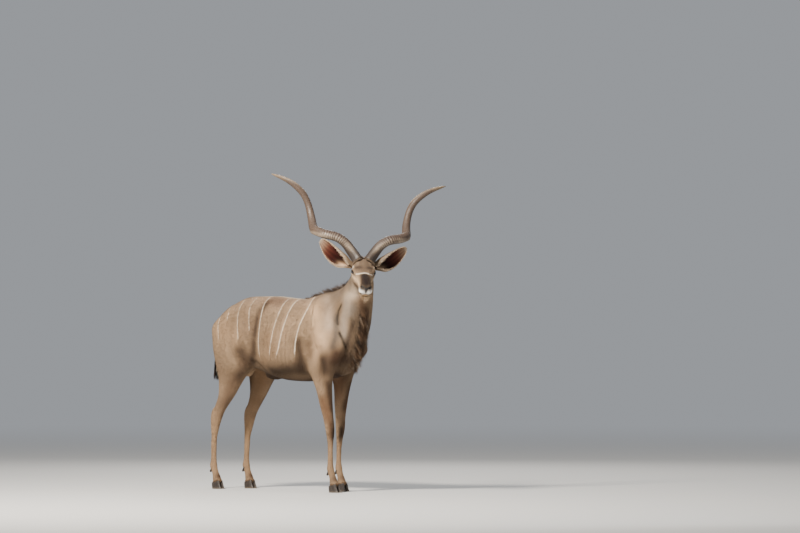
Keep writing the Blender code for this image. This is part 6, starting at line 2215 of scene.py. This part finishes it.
class KUDU_OT_long_hair(bpy.types.Operator):
    """Makes the throat fringe, mane, tail tuft, beard, ear hair, lashes and whiskers"""

    bl_idname = "kudu.long_hair"
    bl_label = "Long hair"

    def execute(self, context):
        settings = context.scene.kudu_long_hair
        skin = piece("skin_coat")
        finish = shared_finish("kudu long hair", long_finish)
        draws = np.random.default_rng(71)
        fringe = strip_plan(FRINGE, settings.fringe_locks, 0.14, 0.036, FRINGE_TONES, draws, 0.9)
        mane = strip_plan(MANE, settings.mane_locks, -0.12, 0.012, MANE_TONES, draws)
        dress(long_locks("fringe_hair", fringe, 20, 0.0016, 0.007, draws), finish, "neck_coat")
        dress(long_locks("mane_hair", mane, 20, 0.0013, 0.005, draws), finish, "neck_coat")
        tail = tail_plan(settings.tail_locks, draws)
        dress(long_locks("tail_hair", tail, 14, 0.0016, 0.002, draws, rings=7), finish, "coat")
        dress(long_locks("beard_hair", beard_plan(draws), 14, 0.0012, 0.0026, draws), finish, "head_coat")
        dress(throat_hair(skin, settings.throat_hairs, draws), finish, "neck_coat")
        dress(ear_fringe(settings.ear_hairs, draws), finish, "ear_coat")
        dress(lashes_and_whiskers(draws), finish, "head_coat")
        dress(horn_root_hair(skin, draws), finish, "head_coat")
        dress(coronet_hair(skin, draws), finish, "leg_coat")
        return {"FINISHED"}


class KUDU_OT_horns(bpy.types.Operator):
    """Makes the two spiral horns"""

    bl_idname = "kudu.horns"
    bl_label = "Horns"

    def execute(self, context):
        settings = context.scene.kudu_horns
        finish = shared_finish("kudu horn", horn_finish)
        for side, name in SIDES:
            points, faces, columns = horn_surface(side, settings.rings, settings.around)
            horn = closed_piece(f"{name}_horn", (points, faces), **columns)
            dress(horn, finish, "horn", f"horn_{name}")
        return {"FINISHED"}


class KUDU_OT_eyes(bpy.types.Operator):
    """Makes the two eyeballs"""

    bl_idname = "kudu.eyes"
    bl_label = "Eyes"

    def execute(self, context):
        settings = context.scene.kudu_eyes
        finish = shared_finish("kudu eye", eye_finish)
        for side, name in SIDES:
            points, faces, look = eye_surface(side, settings.rings, settings.around)
            eye = closed_piece(f"{name}_eye", (points, faces), look=look)
            dress(eye, finish, "eye", f"eye_{name}")
        return {"FINISHED"}


class KUDU_OT_hooves(bpy.types.Operator):
    """Makes the eight claws and the dewclaws"""

    bl_idname = "kudu.hooves"
    bl_label = "Hooves"

    def execute(self, context):
        settings = context.scene.kudu_hooves
        finish = shared_finish("kudu hoof", hoof_finish)
        pegs = []
        for (middle, y), name in zip(foot_places(), FEET):
            flank = 1 if y > 0 else -1
            for side, which in ((flank, "outer"), (-flank, "inner")):
                offset = side * (CLAW_WIDTH * 0.89 + CLEFT) / 2
                surface = claw_surface(middle, y + offset, side, settings.rings, settings.around)
                claw = closed_piece(f"{name}_{which}_claw", surface, WELD)
                dress(claw, finish, "hoof", f"hoof_{name}_{which}")
            x = middle + leg_shift(middle, y, 0.1) - leg_shift(middle, y, 0.05)
            for apart in (-0.012, 0.012):
                top, low = (x - 0.05, y + apart, 0.152), (x - 0.07, y + apart * 1.45, 0.121)
                pegs.append(dewclaw_surface(top, low, 0.0105, 16, 20))
        dress(closed_piece("dewclaws", joined(pegs), WELD), finish, "hoof")
        return {"FINISHED"}


class KUDU_OT_stage(bpy.types.Operator):
    """Sets up the floor, the studio lights and the camera"""

    bl_idname = "kudu.stage"
    bl_label = "Stage"

    def execute(self, context):
        settings = context.scene.kudu_stage
        floor = bpy.data.meshes.new("studio_floor")
        corners = [(x * FLOOR_REACH, y * FLOOR_REACH, 0) for x, y in ((-1, -1), (1, -1), (1, 1), (-1, 1))]
        floor.from_pydata(corners, [], [(0, 1, 2, 3)])
        ground = bpy.data.objects.new("studio_floor", floor)
        floor.materials.append(floor_finish(settings.floor_colour))
        context.scene.collection.objects.link(ground)
        aim_camera(context.scene, settings)
        light_bull(context.scene)
        return {"FINISHED"}


def aim_camera(scene, settings):
    """A long lens from the bull's right front, aimed so that the bull stands left of the middle."""
    turn, lift = settings.azimuth, settings.elevation
    back = Vector((math.cos(lift) * math.sin(turn), -math.cos(lift) * math.cos(turn), math.sin(lift)))
    right = Vector((math.cos(turn), math.sin(turn), 0.0))
    above = back.cross(right)
    look = (-back + right * VIEW_RIGHT + above * VIEW_UP).normalized()
    data = bpy.data.cameras.new("camera")
    data.lens = settings.lens
    data.sensor_width = 36.0
    data.clip_end = 200.0
    camera = bpy.data.objects.new("camera", data)
    side = look.cross(Vector((0, 0, 1))).normalized()
    frame_turn = Matrix((side, side.cross(look), -look)).transposed()
    camera.matrix_world = Matrix.Translation(back * settings.distance - Vector(ORIGIN)) @ frame_turn.to_4x4()
    scene.collection.objects.link(camera)
    scene.camera = camera


def add_light(scene, name, place, aim, size, power, colour):
    """A square soft light at `place`, turned to `aim`."""
    data = bpy.data.lights.new(name, "AREA")
    data.shape = "SQUARE"
    data.size = size
    data.energy = power
    data.color = colour
    light = bpy.data.objects.new(name, data)
    light.location = place
    light.rotation_euler = (Vector(aim) - Vector(place)).to_track_quat("-Z", "Y").to_euler()
    scene.collection.objects.link(light)


def light_bull(scene):
    """A high sun-like key from the camera's left, weak cool fill, a rim light and a pale sky."""
    add_light(scene, "key", (1.2, -6.1, 6.4), (0.1, 0.0, 1.2), 1.2, 1650.0, (1.0, 0.93, 0.83))
    add_light(scene, "top", (0.5, 0.5, 6.5), (0.2, 0.0, 1.0), 4.0, 70.0, (0.92, 0.96, 1.0))
    add_light(scene, "fill", (6.0, -3.0, 2.5), (0.3, 0.0, 1.2), 3.0, 40.0, (0.92, 0.96, 1.0))
    add_light(scene, "rim", (-3.5, 4.5, 4.0), (0.0, 0.0, 1.3), 2.5, 150.0, (1.0, 0.97, 0.93))
    world = bpy.data.worlds.new("pale sky")
    world.use_nodes = True
    sky = world.node_tree.nodes["Background"]
    sky.inputs["Color"].default_value = (*SKY, 1.0)
    sky.inputs["Strength"].default_value = SKY_LIGHT
    scene.world = world


OPERATORS = [
    KUDU_OT_skin, KUDU_OT_short_coat, KUDU_OT_long_hair, KUDU_OT_horns, KUDU_OT_eyes, KUDU_OT_hooves,
    KUDU_OT_stage,
]
GROUPS = {
    "kudu_skin": KuduSkinSettings,
    "kudu_coat": KuduCoatSettings,
    "kudu_long_hair": KuduLongHairSettings,
    "kudu_horns": KuduHornSettings,
    "kudu_eyes": KuduEyeSettings,
    "kudu_hooves": KuduHoofSettings,
    "kudu_stage": KuduStageSettings,
}


class KUDU_PT_panel(bpy.types.Panel):
    """Lists the steps in their order, each with its settings"""

    bl_idname = "KUDU_PT_panel"
    bl_label = "Greater kudu bull"
    bl_space_type = "VIEW_3D"
    bl_region_type = "UI"
    bl_category = "Kudu"

    def draw(self, context):
        for step, key in zip(OPERATORS, GROUPS):
            box = self.layout.box()
            box.operator(step.bl_idname)
            group = getattr(context.scene, key)
            for name in group.__annotations__:
                box.prop(group, name)


def register():
    for key, group in GROUPS.items():
        bpy.utils.register_class(group)
        setattr(bpy.types.Scene, key, PointerProperty(type=group))
    for step in OPERATORS:
        bpy.utils.register_class(step)
    bpy.utils.register_class(KUDU_PT_panel)


def unregister():
    bpy.utils.unregister_class(KUDU_PT_panel)
    for step in reversed(OPERATORS):
        bpy.utils.unregister_class(step)
    for key, group in reversed(GROUPS.items()):
        delattr(bpy.types.Scene, key)
        bpy.utils.unregister_class(group)


def main():
    register()
    bpy.ops.kudu.skin()
    bpy.ops.kudu.short_coat()
    bpy.ops.kudu.long_hair()
    bpy.ops.kudu.horns()
    bpy.ops.kudu.eyes()
    bpy.ops.kudu.hooves()
    bpy.ops.kudu.stage()
    bpy.context.view_layer.update()


if __name__ == "__main__":
    main()
